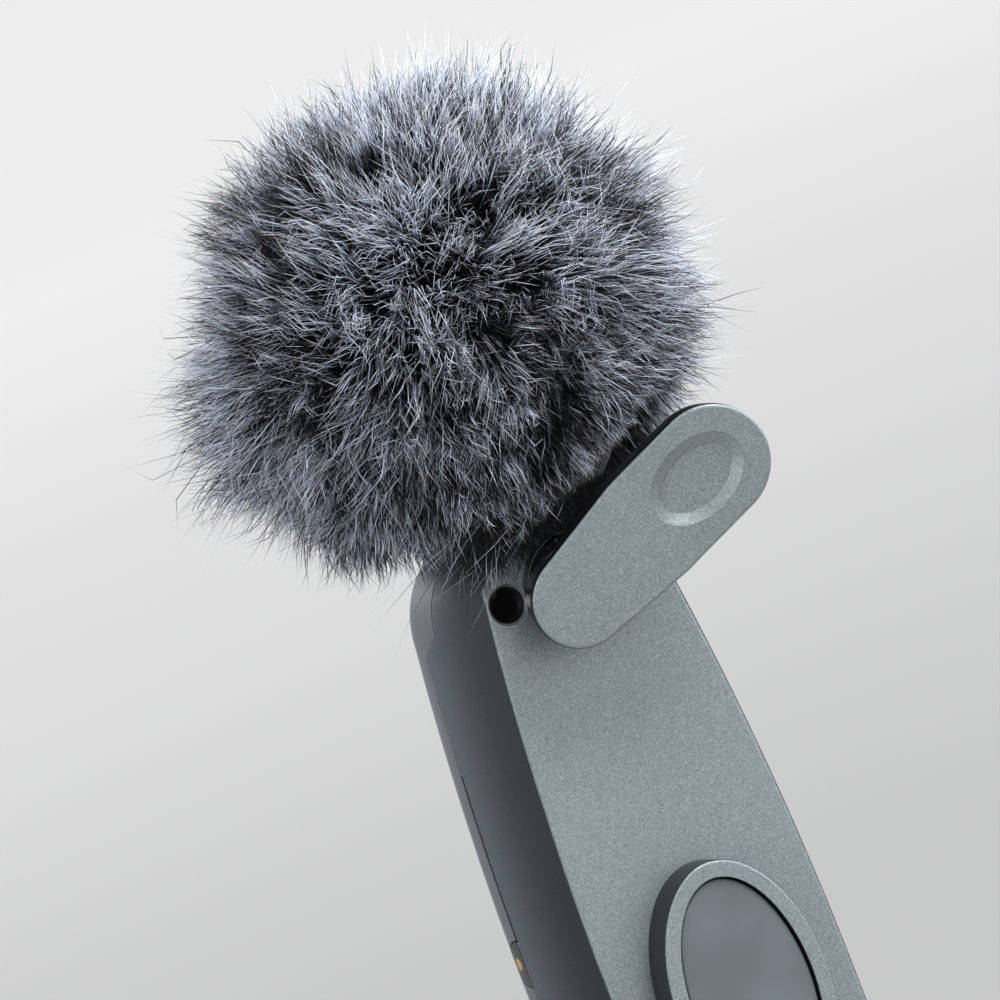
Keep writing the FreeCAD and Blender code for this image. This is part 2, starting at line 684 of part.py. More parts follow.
battery_front = "board_front + board_thick + battery_gap"
battery_box = box("-battery_half_width", battery_front, "-battery_bottom", "2 * battery_half_width",
                  "battery_thick", "battery_bottom - battery_top")
battery = soften(battery_box, "battery_round", lambda edge: True)
keep(battery, "battery")
battery_back = "%s + battery_thick" % battery_front
battery_foam = box("-battery_half_width + foam_edge", battery_back, "-battery_bottom + foam_edge",
                   "2 * (battery_half_width - foam_edge)", "body_depth - side_wall - (%s)" % battery_back,
                   "battery_bottom - battery_top - 2 * foam_edge")
keep(battery_foam, "battery_foam")

magnet = box("half_width + side_flare - side_wall - magnet_gap - magnet_wide",
             "seam_depth - magnet_deep / 2", "-magnet_drop - magnet_tall / 2", "magnet_wide",
             "magnet_deep", "magnet_tall")
keep(fuse(magnet, mirrored(magnet)), "case_magnets")

# ---- charging socket ----

usb_outer = usb_slab("usb_wide", "usb_high", usb_mouth, "usb_long")
usb_inner = usb_slab("usb_wide - 2 * usb_wall", "usb_high - 2 * usb_wall", usb_mouth, "usb_long - usb_wall")
keep(cut(usb_outer, usb_inner), "usb_socket")
tongue = box("-usb_tongue_wide / 2", "head_depth - usb_tongue_high / 2", "%s + tongue_inset" % usb_mouth,
             "usb_tongue_wide", "usb_tongue_high", "usb_long - usb_wall - tongue_inset")
keep(tongue, "usb_tongue")

# ---- microphone head ----

collar_top = "seat_rise + collar_tall"
collar = rod("collar_radius", "collar_tall", "0", "head_depth", "seat_rise")
spigot = rod("spigot_radius", "spigot_long", "0", "head_depth", "seat_rise - spigot_long")
neck_bore = rod("neck_bore", "spigot_long + collar_tall", "0", "head_depth", "seat_rise - spigot_long")
keep(cut(fuse(collar, spigot), neck_bore), "mic_neck")


def ball_at(radius, rise, aside="0"):
    ball = doc.addObject("Part::Sphere", "Ball")
    bind(ball, Radius=radius)
    return place(ball, aside, "head_depth", rise)


def dome(radius, straight, bottom):
    """A cylinder with a half ball on it."""
    ball = ball_at(radius, "%s + %s" % (bottom, straight))
    return fuse(rod(radius, straight, "0", "head_depth", bottom), ball)


lower_half = box("-beyond", "-beyond", "-2 * beyond", "2 * beyond", "3 * beyond",
                 "2 * beyond + %s" % collar_top)
grille = cut(dome("grille_radius", "grille_straight", collar_top),
             dome("grille_radius - grille_wall", "grille_straight", collar_top), lower_half)
keep(grille, "mic_grille")
capsule_low = "%s + capsule_rise" % collar_top
capsule = rod("capsule_radius", "capsule_tall", "0", "head_depth", capsule_low)
keep(soften(capsule, "fine_round", lies_at("Z", number("%s + capsule_tall" % capsule_low))), "mic_capsule")
boot = rod("grille_radius - grille_wall", "boot_tall", "0", "head_depth", capsule_low)
keep(cut(boot, rod("capsule_radius", "boot_tall", "0", "head_depth", capsule_low)), "capsule_boot")
flex = box("-flex_half_width", "head_depth", "-board_top", "2 * flex_half_width", "flex_thick",
           "board_top + %s" % capsule_low)
keep(flex, "capsule_flex")

# ---- clip turntable: turned by clip_angle about the Y axis ----

clip_turn = "rotation(vector(0; 1; 0); -clip_angle)"
pin_y = "-pin_height"
table_front = "-table_gap - table_thick"
ear_outer = "ear_inner + ear_thick"


def on_table(item):
    return place(item, turn=clip_turn)


def cross_rod(radius, half, y=pin_y):
    """A rod along the hinge pin's axis, as long each way as half."""
    return rod(radius, "2 * (%s)" % half, "0", y, "-(%s)" % half)


table = rod("table_radius", "table_thick", "0", table_front, "0", along_y)
table = soften(table, "fine_round", lies_at("Y", number(table_front)))
foot = box("-foot_half", "%s - foot_rise" % table_front, "-(%s)" % ear_outer, "2 * foot_half", "foot_rise",
           "2 * (%s)" % ear_outer)
ear_wall = box("-ear_round", pin_y, "-(%s)" % ear_outer, "2 * ear_round",
               "pin_height - table_gap - table_thick", "2 * (%s)" % ear_outer)
ear_top = cross_rod("ear_round", ear_outer)
between = box("-beyond", "-beyond", "-ear_inner", "2 * beyond",
              "beyond - table_gap - table_thick - foot_rise", "2 * ear_inner")
ears = cut(fuse(ear_wall, ear_top), between)
pin_hole = cross_rod("pin_radius", "beyond")
pivot_hole = rod("pivot_radius", "pivot_thread", "0", "-table_gap - pivot_thread", "0", along_y)
keep(on_table(cut(fuse(table, foot, ears), pin_hole, pivot_hole)), "clip_turntable")
lever_room = "ear_inner + ear_thick + cheek_gap"
cheek_outer = "%s + cheek_thick" % lever_room
pin_end = "%s + fit_gap" % cheek_outer
pin_head = rod("pin_radius + pin_head_rim", "pin_head_thick", "0", pin_y, pin_end)
keep(on_table(fuse(cross_rod("pin_radius", pin_end), pin_head)), "hinge_pin")

bush = fuse(rod("bush_radius", "face_wall", "0", "0", "0", along_y),
            rod("bush_flange", "bush_flange_thick", "0", "face_wall", "0", along_y))
bush_bore = rod("pivot_radius + pivot_gap", "beyond", "0", "-face_wall", "0", along_y)
keep(cut(bush, bush_bore), "pivot_bush")
washer_front = "face_wall + bush_flange_thick + fit_gap / 2"
head_front = "%s + washer_thick" % washer_front
washer = rod("washer_radius", "washer_thick", "0", washer_front, "0", along_y)
keep(cut(washer, rod("pivot_radius", "beyond", "0", "0", "0", along_y)), "friction_washer")
shank = rod("pivot_radius", "%s + table_gap + pivot_thread" % head_front, "0",
            "-table_gap - pivot_thread", "0", along_y)
head = rod("pivot_head", "pivot_head_thick", "0", head_front, "0", along_y)
slot = box("-pivot_head", "%s + pivot_head_thick / 2" % head_front, "-slot_wide / 2", "2 * pivot_head",
           "pivot_head_thick", "slot_wide")
keep(cut(fuse(shank, head), slot), "pivot_screw")

# ---- clip lever: modelled flat about the hinge pin, then tilted and turned ----

lever_turn = "rotation(vector(0; 1; 0); -clip_angle) * rotation(vector(0; 0; 1); -lever_tilt)"


def on_lever(item):
    return place(item, "0", pin_y, "0", lever_turn)


def lever_outline(inset):
    """The lever seen from outside: a round thumb end, straight sides and a narrower round jaw end."""
    item = sketch(front_view, y="-beyond")
    thumb_r = number("thumb_radius - %s" % inset)
    jaw_r = number("jaw_radius - %s" % inset)
    thumb, jaw = Vector(number("thumb_centre"), 0, 0), Vector(-number("jaw_centre"), 0, 0)
    knee = Vector(number("taper_start"), thumb_r, 0)
    reach = knee - jaw
    lean = math.atan2(reach.y, reach.x) + math.acos(jaw_r / reach.Length)
    touch = jaw + Vector(math.cos(lean), math.sin(lean), 0) * jaw_r

    def flip(point):
        return Vector(point.x, -point.y, 0)

    thumb_top = thumb + Vector(0, thumb_r, 0)
    item.addGeometry(arc(thumb, thumb_r, flip(thumb_top), thumb_top))
    item.addGeometry(Part.LineSegment(thumb_top, knee))
    item.addGeometry(Part.LineSegment(knee, touch))
    item.addGeometry(arc(jaw, jaw_r, touch, flip(touch)))
    item.addGeometry(Part.LineSegment(flip(touch), flip(knee)))
    item.addGeometry(Part.LineSegment(flip(knee), flip(thumb_top)))
    for first, second in ((0, 1), (2, 3), (3, 4), (5, 0)):
        item.addConstraint(Sketcher.Constraint("Tangent", first, 2, second, 1))
    for first, second in ((1, 2), (4, 5)):
        item.addConstraint(Sketcher.Constraint("Coincident", first, 2, second, 1))
    item.addConstraint(Sketcher.Constraint("Horizontal", 1))
    item.addConstraint(Sketcher.Constraint("Horizontal", 5))
    pin_point(item, 0, 3, "thumb_centre", "0")
    pin_point(item, 3, 3, "-jaw_centre", "0")
    hold_radius(item, 0, "thumb_radius - %s" % inset)
    hold_radius(item, 3, "jaw_radius - %s" % inset)
    for index, end in ((1, 2), (4, 2)):
        row = item.addConstraint(Sketcher.Constraint("DistanceX", -1, 1, index, end, knee.x))
        item.setExpression("Constraints[%d]" % row, sized("taper_start"))
    return extrude(item, Vector(0, 1, 0), "2 * beyond")


jaw_reach = "-(jaw_centre + jaw_radius + slab_spare)"
thumb_reach = "thumb_centre + thumb_radius + slab_spare"
bend_angle = "atan(bend_rise)"


def plate_line(out):
    """The lever's bent line at a distance out from the pin, from the jaw to the thumb."""
    radius = "(bend_round + plate_out - (%s))" % out
    past = "bend_place + %s * sin(%s)" % (radius, bend_angle)
    lift = "%s * (1 - cos(%s))" % (radius, bend_angle)
    rise = "(%s) * bend_rise" % "%s - (%s)" % (thumb_reach, past)
    return [(jaw_reach, "-(%s)" % out), ("bend_place", "-(%s)" % out, "-" + radius),
            (past, "-(%s) - %s" % (out, lift)), (thumb_reach, "-(%s) - %s - %s" % (out, lift, rise))]


def returned(line):
    """The same line walked the other way."""
    (a, b, c, d) = line
    return [d, (c[0], c[1], b[2][1:]), b[:2], a]


plate_in = "plate_out - plate_thick"
plate_sides = plate_line("plate_out") + returned(plate_line(plate_in))
plate_slab = extrude(polygon(plan_view, plate_sides, z="-beyond"), Vector(0, 0, 1), "2 * beyond")
plate = common(plate_slab, lever_outline("0"))


rim_slack = 0.15
across_least = 2


def is_rim(edge):
    """The edges all round the plate's outer face."""
    middle = edge.valueAt((edge.FirstParameter + edge.LastParameter) / 2)
    lift = max(0, middle.x - number("bend_place")) * number("bend_rise")
    return abs(middle.y + number("plate_out") + lift) < rim_slack and not runs_across(edge)


def runs_across(edge):
    """The straight edges across the lever, where the plate bends."""
    ends = [vertex.Point for vertex in edge.Vertexes]
    return len(ends) == 2 and abs(ends[0].x - ends[1].x) < tiny and edge.BoundBox.ZLength > across_least


plate = soften(plate, "plate_edge", is_rim)
dish_top = "-plate_out - (dish_centre - bend_place) * bend_rise"
dish_ends = []
for share in ("-0.25", "1"):
    depth = "dish_depth * (%s)" % share
    shrink = "dish_slope * (%s)" % share
    curve = doc.addObject("Part::Ellipse", "Oval")
    bind(curve, MajorRadius="dish_half_long - (%s)" % shrink, MinorRadius="dish_half_wide - (%s)" % shrink)
    place(curve, "dish_centre", "%s + (%s)" % (dish_top, depth), "0",
          "rotation(vector(0; 0; 1); -atan(bend_rise)) * rotation(vector(1; 0; 0); 90)")
    dish_ends.append(curve)
dish = loft(dish_ends, ruled=True)
keep(on_lever(cut(plate, dish)), "lever_plate")

body_top = plate_line(plate_in)
body_low = [(thumb_reach, body_top[-1][1] + " + lever_tip_thick"),
            ("thin_start", "lever_low"), (jaw_reach, "lever_low")]
body_slab = extrude(polygon(plan_view, body_top + body_low, z="-beyond"), Vector(0, 0, 1), "2 * beyond")
pocket = box("-pocket_half", "-pocket_roof", "-(%s)" % lever_room, "2 * pocket_half", "beyond",
             "2 * (%s)" % lever_room)
cheeks = cut(cross_rod("cheek_round", cheek_outer, y="0"), cross_rod("beyond", lever_room, y="0"))
lever_bore = cross_rod("pin_radius + pin_gap", "beyond", y="0")
lever_block = cut(fuse(common(body_slab, lever_outline("lever_inset")), cheeks), pocket, lever_bore)
keep(on_lever(lever_block), "clip_lever")

# The jaw pad's underside is parallel to the turntable when the jaw is shut.
closed_line = "(pin_height - table_gap - table_thick - pad_gap + (%s) * sin(lever_tilt)) / cos(lever_tilt)"
pad_end = "-(jaw_centre + jaw_radius - pad_back)"
pad_sides = [(pad_end, "lever_low"), ("-pad_inner", "lever_low"),
             ("-pad_inner", closed_line % "-pad_inner"), (pad_end, closed_line % pad_end)]
pad_slab = extrude(polygon(plan_view, pad_sides, z="-beyond"), Vector(0, 0, 1), "2 * beyond")
keep(on_lever(common(pad_slab, lever_outline("pad_back"))), "jaw_pad")

# The spring is wound round the pin between the ears; its legs press on the foot and the lever.
helix = doc.addObject("Part::Helix", "Coil")
bind(helix, Radius="spring_radius", Pitch="spring_pitch", Height="2 * spring_half")
place(helix, "0", "0", "-spring_half")
wire_section = doc.addObject("Part::Circle", "WireSection")
bind(wire_section, Radius="wire_radius")
place(wire_section, "spring_radius", "0", "-spring_half", along_y)
coil = doc.addObject("Part::Sweep", "Spring")
coil.Sections = [wire_section]
coil.Spine = (helix, [])
coil.Solid = True
coil.Frenet = True
spring_leg = rod("wire_radius", "leg_long", "spring_radius", "0", "-spring_half",
                 "rotation(vector(1; 0; 0); 90)")
spring_turn = clip_turn + " * rotation(vector(0; 0; 1); leg_turn)"
keep(place(fuse(coil, spring_leg), "0", pin_y, "0", spring_turn), "clip_spring")

# ---- windscreen ----


def round_housing(grow):
    """A solid that follows the housing at a distance all round."""
    return housing_form("(-(%s))" % grow, "(-(%s))" % grow)


def hem_line(y, lift):
    """Height of the hem at a depth: it slopes from the face down to the back."""
    return "hem_front - (hem_front - hem_back) * (%s) / body_depth + (%s)" % (y, lift)


def hem_slab(low, high):
    """The space between two lifts above the hem."""
    points = [("-beyond", hem_line("-beyond", low)), ("2 * beyond", hem_line("2 * beyond", low)),
              ("2 * beyond", hem_line("2 * beyond", high)), ("-beyond", hem_line("-beyond", high))]
    return extrude(polygon(side_view, points, x="-beyond"), Vector(1, 0, 0), "2 * beyond")


sleeve_outer = "sleeve_ease + sleeve_thick"
band_inner = "sleeve_ease + (sleeve_thick - band_thick) / 2"
band_ring = cut(round_housing(band_inner + " + band_thick"), round_housing(band_inner))
elastic = keep(common(band_ring, hem_slab("band_up", "band_up + band_tall")), "elastic_band")
neck_room = rod("collar_radius + foam_clear", "foam_rise", "0", "head_depth", "0")
sleeve = cut(round_housing(sleeve_outer), round_housing("sleeve_ease"), hem_slab("-3 * beyond", "0"),
             neck_room, elastic)
keep(sleeve, "windscreen_sleeve")

sleeve_top = "top_rise + top_swell + %s" % sleeve_outer
foam_ball = ball_at("foam_radius", "foam_rise")
foam_room = dome("grille_radius + foam_clear", "grille_straight + foam_rise", "%s - foam_rise" % collar_top)
below_sleeve = box("-beyond", "-beyond", "-beyond", "2 * beyond", "3 * beyond",
                   "beyond + %s + fit_gap" % sleeve_top)
keep(cut(foam_ball, foam_room, below_sleeve), "windscreen_foam")

fur_ball = ball_at("fur_radius", "fur_rise", "fur_aside")
foam_space = ball_at("foam_radius + fit_gap", "foam_rise")
clip_sweep = rod("sweep_radius", "beyond", "0", "-sweep_front - beyond", "0", along_y)
sleeve_space = round_housing(sleeve_outer + " + fit_gap")
keep(cut(fur_ball, foam_space, clip_sweep, sleeve_space, neck_room), "fur_cover")

# ---- checks and export ----

doc.recompute()
for item in doc.Objects:
    if "Invalid" in item.State or "Error" in item.State:
        raise RuntimeError("%s (%s) is %s" % (item.Name, item.Label, item.State))
for label, item in parts.items():
    shape = item.Shape
    if shape.isNull() or not shape.isValid() or not shape.Solids:
        raise RuntimeError("%s has no valid solid" % label)

os.makedirs("parts", exist_ok=True)
for label, item in parts.items():
    item.Shape.exportStep(os.path.join("parts", label + ".step"))
    print("%-22s %2d solid %9.2f mm3" % (label, len(item.Shape.Solids), item.Shape.Volume))
print(len(parts), "nodes")
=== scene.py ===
import math

import bpy
import numpy as np
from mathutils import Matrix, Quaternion, Vector
from mathutils.bvhtree import BVHTree
from mathutils.kdtree import KDTree


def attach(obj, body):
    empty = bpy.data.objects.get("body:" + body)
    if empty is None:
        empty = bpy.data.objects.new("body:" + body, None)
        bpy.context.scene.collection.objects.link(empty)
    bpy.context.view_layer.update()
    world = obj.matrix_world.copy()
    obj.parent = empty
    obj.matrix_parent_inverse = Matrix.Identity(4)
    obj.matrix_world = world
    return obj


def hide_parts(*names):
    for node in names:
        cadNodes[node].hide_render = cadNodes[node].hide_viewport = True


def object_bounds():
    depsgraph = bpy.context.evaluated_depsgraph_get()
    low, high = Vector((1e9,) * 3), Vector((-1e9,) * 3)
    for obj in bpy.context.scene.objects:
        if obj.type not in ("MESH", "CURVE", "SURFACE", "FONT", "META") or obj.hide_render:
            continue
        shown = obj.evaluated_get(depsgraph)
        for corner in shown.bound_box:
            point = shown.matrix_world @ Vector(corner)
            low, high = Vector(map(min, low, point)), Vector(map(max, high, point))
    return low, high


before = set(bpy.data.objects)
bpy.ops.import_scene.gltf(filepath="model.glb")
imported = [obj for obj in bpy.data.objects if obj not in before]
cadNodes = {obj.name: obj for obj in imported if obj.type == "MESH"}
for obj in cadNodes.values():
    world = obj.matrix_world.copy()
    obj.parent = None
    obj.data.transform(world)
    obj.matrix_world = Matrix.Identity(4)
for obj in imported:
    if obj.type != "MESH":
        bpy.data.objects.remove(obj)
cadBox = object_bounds()
ops = bpy.ops
mm = 0.001
print("stage: frame loaded")

# ---------- view, light and floor ----------
viewing = {
    "azimuth": -21.71,
    "elevation": 5.31,
    "roll": 21.88,
    "aim": (-0.00077, 0.005, 0.00679),
    "distance": 0.4,
    "lens": 205.6,
}
lighting = {
    "ambient": ((0.93, 0.95, 1.0), 0.19),
    "lamps": [  # name, where it stands, width and height, watts, colour
        ("softboxOverhead", (0.32, -0.34, 0.64), (0.28, 0.28), 6.4, (1.0, 0.99, 0.97)),
        ("softboxRight", (0.62, -0.10, 0.24), (0.3, 0.4), 2.9, (0.86, 0.90, 1.0)),
        ("softboxFront", (0.12, -0.70, 0.22), (0.5, 0.4), 0.4, (0.97, 0.98, 1.0)),
        ("softboxLeft", (-0.60, -0.16, 0.24), (0.3, 0.4), 1.4, (0.90, 0.94, 1.0)),
        ("softboxBack", (-0.10, 0.65, 0.40), (0.6, 0.4), 1.9, (0.97, 0.98, 1.0)),
    ],
    "aim": (0.0, 0.006, 0.004),
}
floorSize = {"flatRadius": 3.0, "bowlRadius": 5.0, "bowlTop": 4.0, "nearGlow": 0.36, "farGlow": 0.80, "tone": 0.1}


def lookingAlong(place, aim):
    return (Vector(aim) - Vector(place)).to_track_quat("-Z", "Y")


def addCamera():
    turn, lift = math.radians(viewing["azimuth"]), math.radians(viewing["elevation"])
    back = Vector((math.sin(turn) * math.cos(lift), -math.cos(turn) * math.cos(lift), math.sin(lift)))
    ops.object.camera_add()
    camera = bpy.context.object
    camera.name = "camera"
    camera.location = Vector(viewing["aim"]) + back * viewing["distance"]
    camera.rotation_mode = "QUATERNION"
    camera.rotation_quaternion = (-back).to_track_quat("-Z", "Y") @ Quaternion((0, 0, 1), -math.radians(viewing["roll"]))
    camera.data.lens = viewing["lens"]
    camera.data.clip_start = 0.01
    bpy.context.scene.camera = camera


def addLamps():
    for name, place, size, power, colour in lighting["lamps"]:
        ops.object.light_add(type="AREA", location=place)
        lamp = bpy.context.object
        lamp.name = name
        lamp.rotation_mode = "QUATERNION"
        lamp.rotation_quaternion = lookingAlong(place, lighting["aim"])
        lamp.data.shape = "RECTANGLE"
        lamp.data.size, lamp.data.size_y = size
        lamp.data.energy = power
        lamp.data.color = colour
    world = bpy.data.worlds.new("studioAir")
    world.use_nodes = True
    colour, strength = lighting["ambient"]
    world.node_tree.nodes["Background"].inputs["Color"].default_value = (*colour, 1)
    world.node_tree.nodes["Background"].inputs["Strength"].default_value = strength
    bpy.context.scene.world = world
    bpy.context.scene.view_settings.view_transform = "Standard"


addCamera()
addLamps()
print("stage: camera and lights")


# ---------- shader maths ----------
class Signal:
    # one socket of a node tree: + - * / on signals add Math nodes
    def __init__(self, finish, socket):
        self.finish, self.socket = finish, socket

    def maths(self, operation, *others, swap=False):
        terms = [self, *others]
        if swap:
            terms.reverse()
        return self.finish.node("ShaderNodeMath", {"operation": operation}, dict(enumerate(terms)))

    def __add__(self, other):
        return self.maths("ADD", other)

    def __radd__(self, other):
        return self.maths("ADD", other)

    def __sub__(self, other):
        return self.maths("SUBTRACT", other)

    def __rsub__(self, other):
        return self.maths("SUBTRACT", other, swap=True)

    def __mul__(self, other):
        return self.maths("MULTIPLY", other)

    def __rmul__(self, other):
        return self.maths("MULTIPLY", other)

    def __truediv__(self, other):
        return self.maths("DIVIDE", other)

    def __rtruediv__(self, other):
        return self.maths("DIVIDE", other, swap=True)

    def __pow__(self, other):
        return self.maths("POWER", other)

    def ease(self, low, high):
        # 0 below low, 1 above high, smooth between
        settings = {"interpolation_type": "SMOOTHSTEP"}
        return self.finish.node("ShaderNodeMapRange", settings, {"Value": self, "From Min": low, "From Max": high})


class Finish:
    # a material with its own short ways to add nodes
    def __init__(self, name, roughness=0.5, metallic=0.0, coat=0.0):
        self.material = bpy.data.materials.new(name)
        self.material.use_nodes = True
        self.tree = self.material.node_tree
        self.shader = self.tree.nodes["Principled BSDF"]
        self.set(Roughness=roughness, Metallic=metallic)
        self.shader.inputs["Coat Weight"].default_value = coat

    def node(self, kind, settings=None, values=None, output=0):
        made = self.tree.nodes.new(kind)
        for name, value in (settings or {}).items():
            if name == "stops":
                ramp = made.color_ramp
                while len(ramp.elements) < len(value):
                    ramp.elements.new(1)
                for element, (place, colour) in zip(ramp.elements, value):
                    element.position, element.color = place, (*colour, 1)
            else:
                setattr(made, name, value)
        for name, value in (values or {}).items():
            self.connect(made.inputs[name], value)
        return Signal(self, made.outputs[output])

    def connect(self, socket, value):
        if isinstance(value, Signal):
            self.tree.links.new(value.socket, socket)
        elif isinstance(value, tuple) and socket.type == "RGBA":
            socket.default_value = (*value, 1)
        else:
            socket.default_value = value

    def set(self, **values):
        for name, value in values.items():
            self.connect(self.shader.inputs[name.replace("_", " ")], value)
        return self

    def place(self, scale=(1, 1, 1), turn=(0, 0, 0)):
        spot = self.node("ShaderNodeTexCoord", output="Object")
        return self.node("ShaderNodeMapping", {}, {"Vector": spot, "Rotation": turn, "Scale": scale})

    def noise(self, grain, detail=2, place=None, roughness=0.5):
        # grain is the pattern's size in millimetres
        values = {"Vector": place or self.place(), "Scale": 1 / (grain * mm), "Detail": detail, "Roughness": roughness}
        return self.node("ShaderNodeTexNoise", {}, values)

    def cells(self, grain, output="Color", feature="F1", place=None):
        values = {"Vector": place or self.place(), "Scale": 1 / (grain * mm)}
        return self.node("ShaderNodeTexVoronoi", {"feature": feature}, values, output)

    def axis(self, vector, name):
        return self.node("ShaderNodeSeparateXYZ", {}, {0: vector}, name)

    def facing(self, name, sign=1):
        # how far a face looks along an axis, from -1 to 1
        return self.axis(self.node("ShaderNodeNewGeometry", output="Normal"), name) * sign

    def mix(self, share, first, second):
        return self.node("ShaderNodeMix", {"data_type": "RGBA"}, {0: share, 6: first, 7: second}, 2)

    def shade(self, colour, factor):
        # a colour made lighter or darker by a signal
        return self.node("ShaderNodeMix", {"data_type": "RGBA", "blend_type": "MULTIPLY"},
                         {0: 1.0, 6: colour, 7: self.node("ShaderNodeCombineColor", {}, {0: factor, 1: factor, 2: factor})}, 2)

    def edges(self, width):
        # 1 on a band along sharp edges
        soft = self.node("ShaderNodeBevel", {"samples": 4}, {"Radius": width * mm})
        true = self.node("ShaderNodeNewGeometry", output="Normal")
        same = self.node("ShaderNodeVectorMath", {"operation": "DOT_PRODUCT"}, {0: soft, 1: true}, "Value")
        return (1 - same).ease(0.004, 0.1)

    def bump(self, height, depth, edge=0):
        # depth in millimetres; edge rounds sharp edges by that many
        values = {"Height": height, "Distance": depth * mm, "Strength": 1.0}
        if edge:
            values["Normal"] = self.node("ShaderNodeBevel", {"samples": 4}, {"Radius": edge * mm})
        return self.set(Normal=self.node("ShaderNodeBump", {}, values))


def srgb(text):
    # a colour from its web name, as the shader wants it
    levels = [int(text[i:i + 2], 16) / 255 for i in (0, 2, 4)]
    return tuple(level / 12.92 if level < 0.04045 else ((level + 0.055) / 1.055) ** 2.4 for level in levels)


# ---------- finishes of the hard pieces ----------
# side, sideFar and rim are painted shade on walls that turn away from the front; edge is a painted highlight along
# sharp edges, with some edge wear
paintLook = {
    "face": "869195", "flakeLight": "a0a9ac", "flakeDark": "727c80", "side": "2c3137", "sideFar": "4d565f",
    "rim": "0d0f11", "edge": "cfd6d6", "flake": 0.07, "grain": 0.13, "metallic": 0.5, "roughness": 0.46,
}


def paintedFinish(name, side="side", sideFar="sideFar", depthOfSide=8.2, paintedEdgeShare=0.75, edge="edge", paintedEdgeWidth=0.08, turned=0.55):
    # speckled metallic paint on what looks forward, with painted shade on the sides and a painted band along sharp
    # edges (a highlight with some edge wear when pale, shade when dark)
    finish = Finish(name, metallic=paintLook["metallic"])
    flake = finish.node("ShaderNodeSeparateColor", {}, {0: finish.cells(paintLook["flake"])})
    grain = finish.noise(paintLook["grain"], 3)
    cloud = finish.noise(9, 2)
    face = finish.mix((flake * 0.75 + grain * 0.5).ease(0.62, 0.98), srgb(paintLook["face"]), srgb(paintLook["flakeLight"]))
    face = finish.mix((flake * 0.6 + grain * 0.6).ease(0.5, 0.22), face, srgb(paintLook["flakeDark"]))
    # painted shade on the sides: darkest by the face edge, lighter towards the seam
    depth = finish.axis(finish.node("ShaderNodeTexCoord", output="Object"), "Y") / (depthOfSide * mm)
    shadedWalls = finish.mix(depth.ease(0.05, 0.95), srgb(paintLook[side]), srgb(paintLook[sideFar]))
    shadedWalls = finish.shade(shadedWalls, flake * 0.3 + 0.85)
    forward = finish.facing("Y", -1).ease(turned, turned + 0.35)
    colour = finish.mix(forward, shadedWalls, face)
    colour = finish.shade(colour, cloud * 0.12 + 0.94)
    # painted edge band: a painted highlight with some edge wear in a pale tone, painted shade in a dark one
    finish.set(Base_Color=finish.mix(finish.edges(paintedEdgeWidth) * paintedEdgeShare, colour, srgb(paintLook[edge])))
    finish.set(Roughness=grain * 0.16 + (paintLook["roughness"] - 0.08))
    finish.bump(flake * 0.5 + grain * 0.5, 0.004, edge=0.1)
    return finish


def mouldedFinish(name, colour, other, roughness=0.45, grain=0.12, depth=0.003, mottle=6, metallic=0.0, coat=0.0, edge=0.08,
                  edgeWearAndHighlight=None):
    # moulded plastic and the like: a fine texture, slow changes of tone, softened edges, and a paler band along sharp
    # edges that is partly edge wear and partly painted highlight
    finish = Finish(name, metallic=metallic, coat=coat)
    fine = finish.noise(grain, 3)
    slow = finish.noise(mottle, 2)
    tone = finish.mix(slow.ease(0.35, 0.65), srgb(colour), srgb(other))
    tone = finish.shade(tone, fine * 0.2 + 0.9)
    if edgeWearAndHighlight:
        # paler band along sharp edges: edge wear and painted highlight
        tone = finish.mix(finish.edges(0.08) * 0.5, tone, srgb(edgeWearAndHighlight))
    finish.set(Base_Color=tone, Roughness=fine * 0.18 + (roughness - 0.09))
    finish.bump(fine, depth, edge=edge)
    return finish


def metalFinish(name, colour, other, roughness=0.3, along=(1, 1, 12), edge=0.06):
    # bare or plated metal with fine drawn lines
    finish = Finish(name, metallic=1.0)
    lines = finish.noise(0.5, 3, finish.place(along))
    spots = finish.noise(1.6, 3)
    finish.set(Base_Color=finish.mix(spots.ease(0.35, 0.7), srgb(colour), srgb(other)))
    finish.set(Roughness=lines * 0.2 + (roughness - 0.1))
    finish.bump(lines, 0.004, edge=edge)
    return finish


def meshedFinish(name):
    # gilt wire gauze: round holes in rows, dark inside
    finish = Finish(name, metallic=1.0)
    spot = finish.node("ShaderNodeTexCoord", output="Object")
    x, y, z = (finish.axis(spot, letter) for letter in "XYZ")
    turn = finish.node("ShaderNodeMath", {"operation": "ARCTAN2"}, {0: y - 6.8 * mm, 1: x})
    across = (turn * (30 / math.pi)).maths("SINE")
    up = (z * (math.pi / (0.5 * mm))).maths("SINE")
    holes = (across * up).ease(-0.1, 0.35)
    finish.set(Base_Color=finish.mix(holes, srgb("c79a4a"), srgb("15100a")), Roughness=holes * 0.4 + 0.3)
    finish.set(Metallic=1 - holes * 0.8)
    finish.bump(1 - holes, 0.08)
    return finish


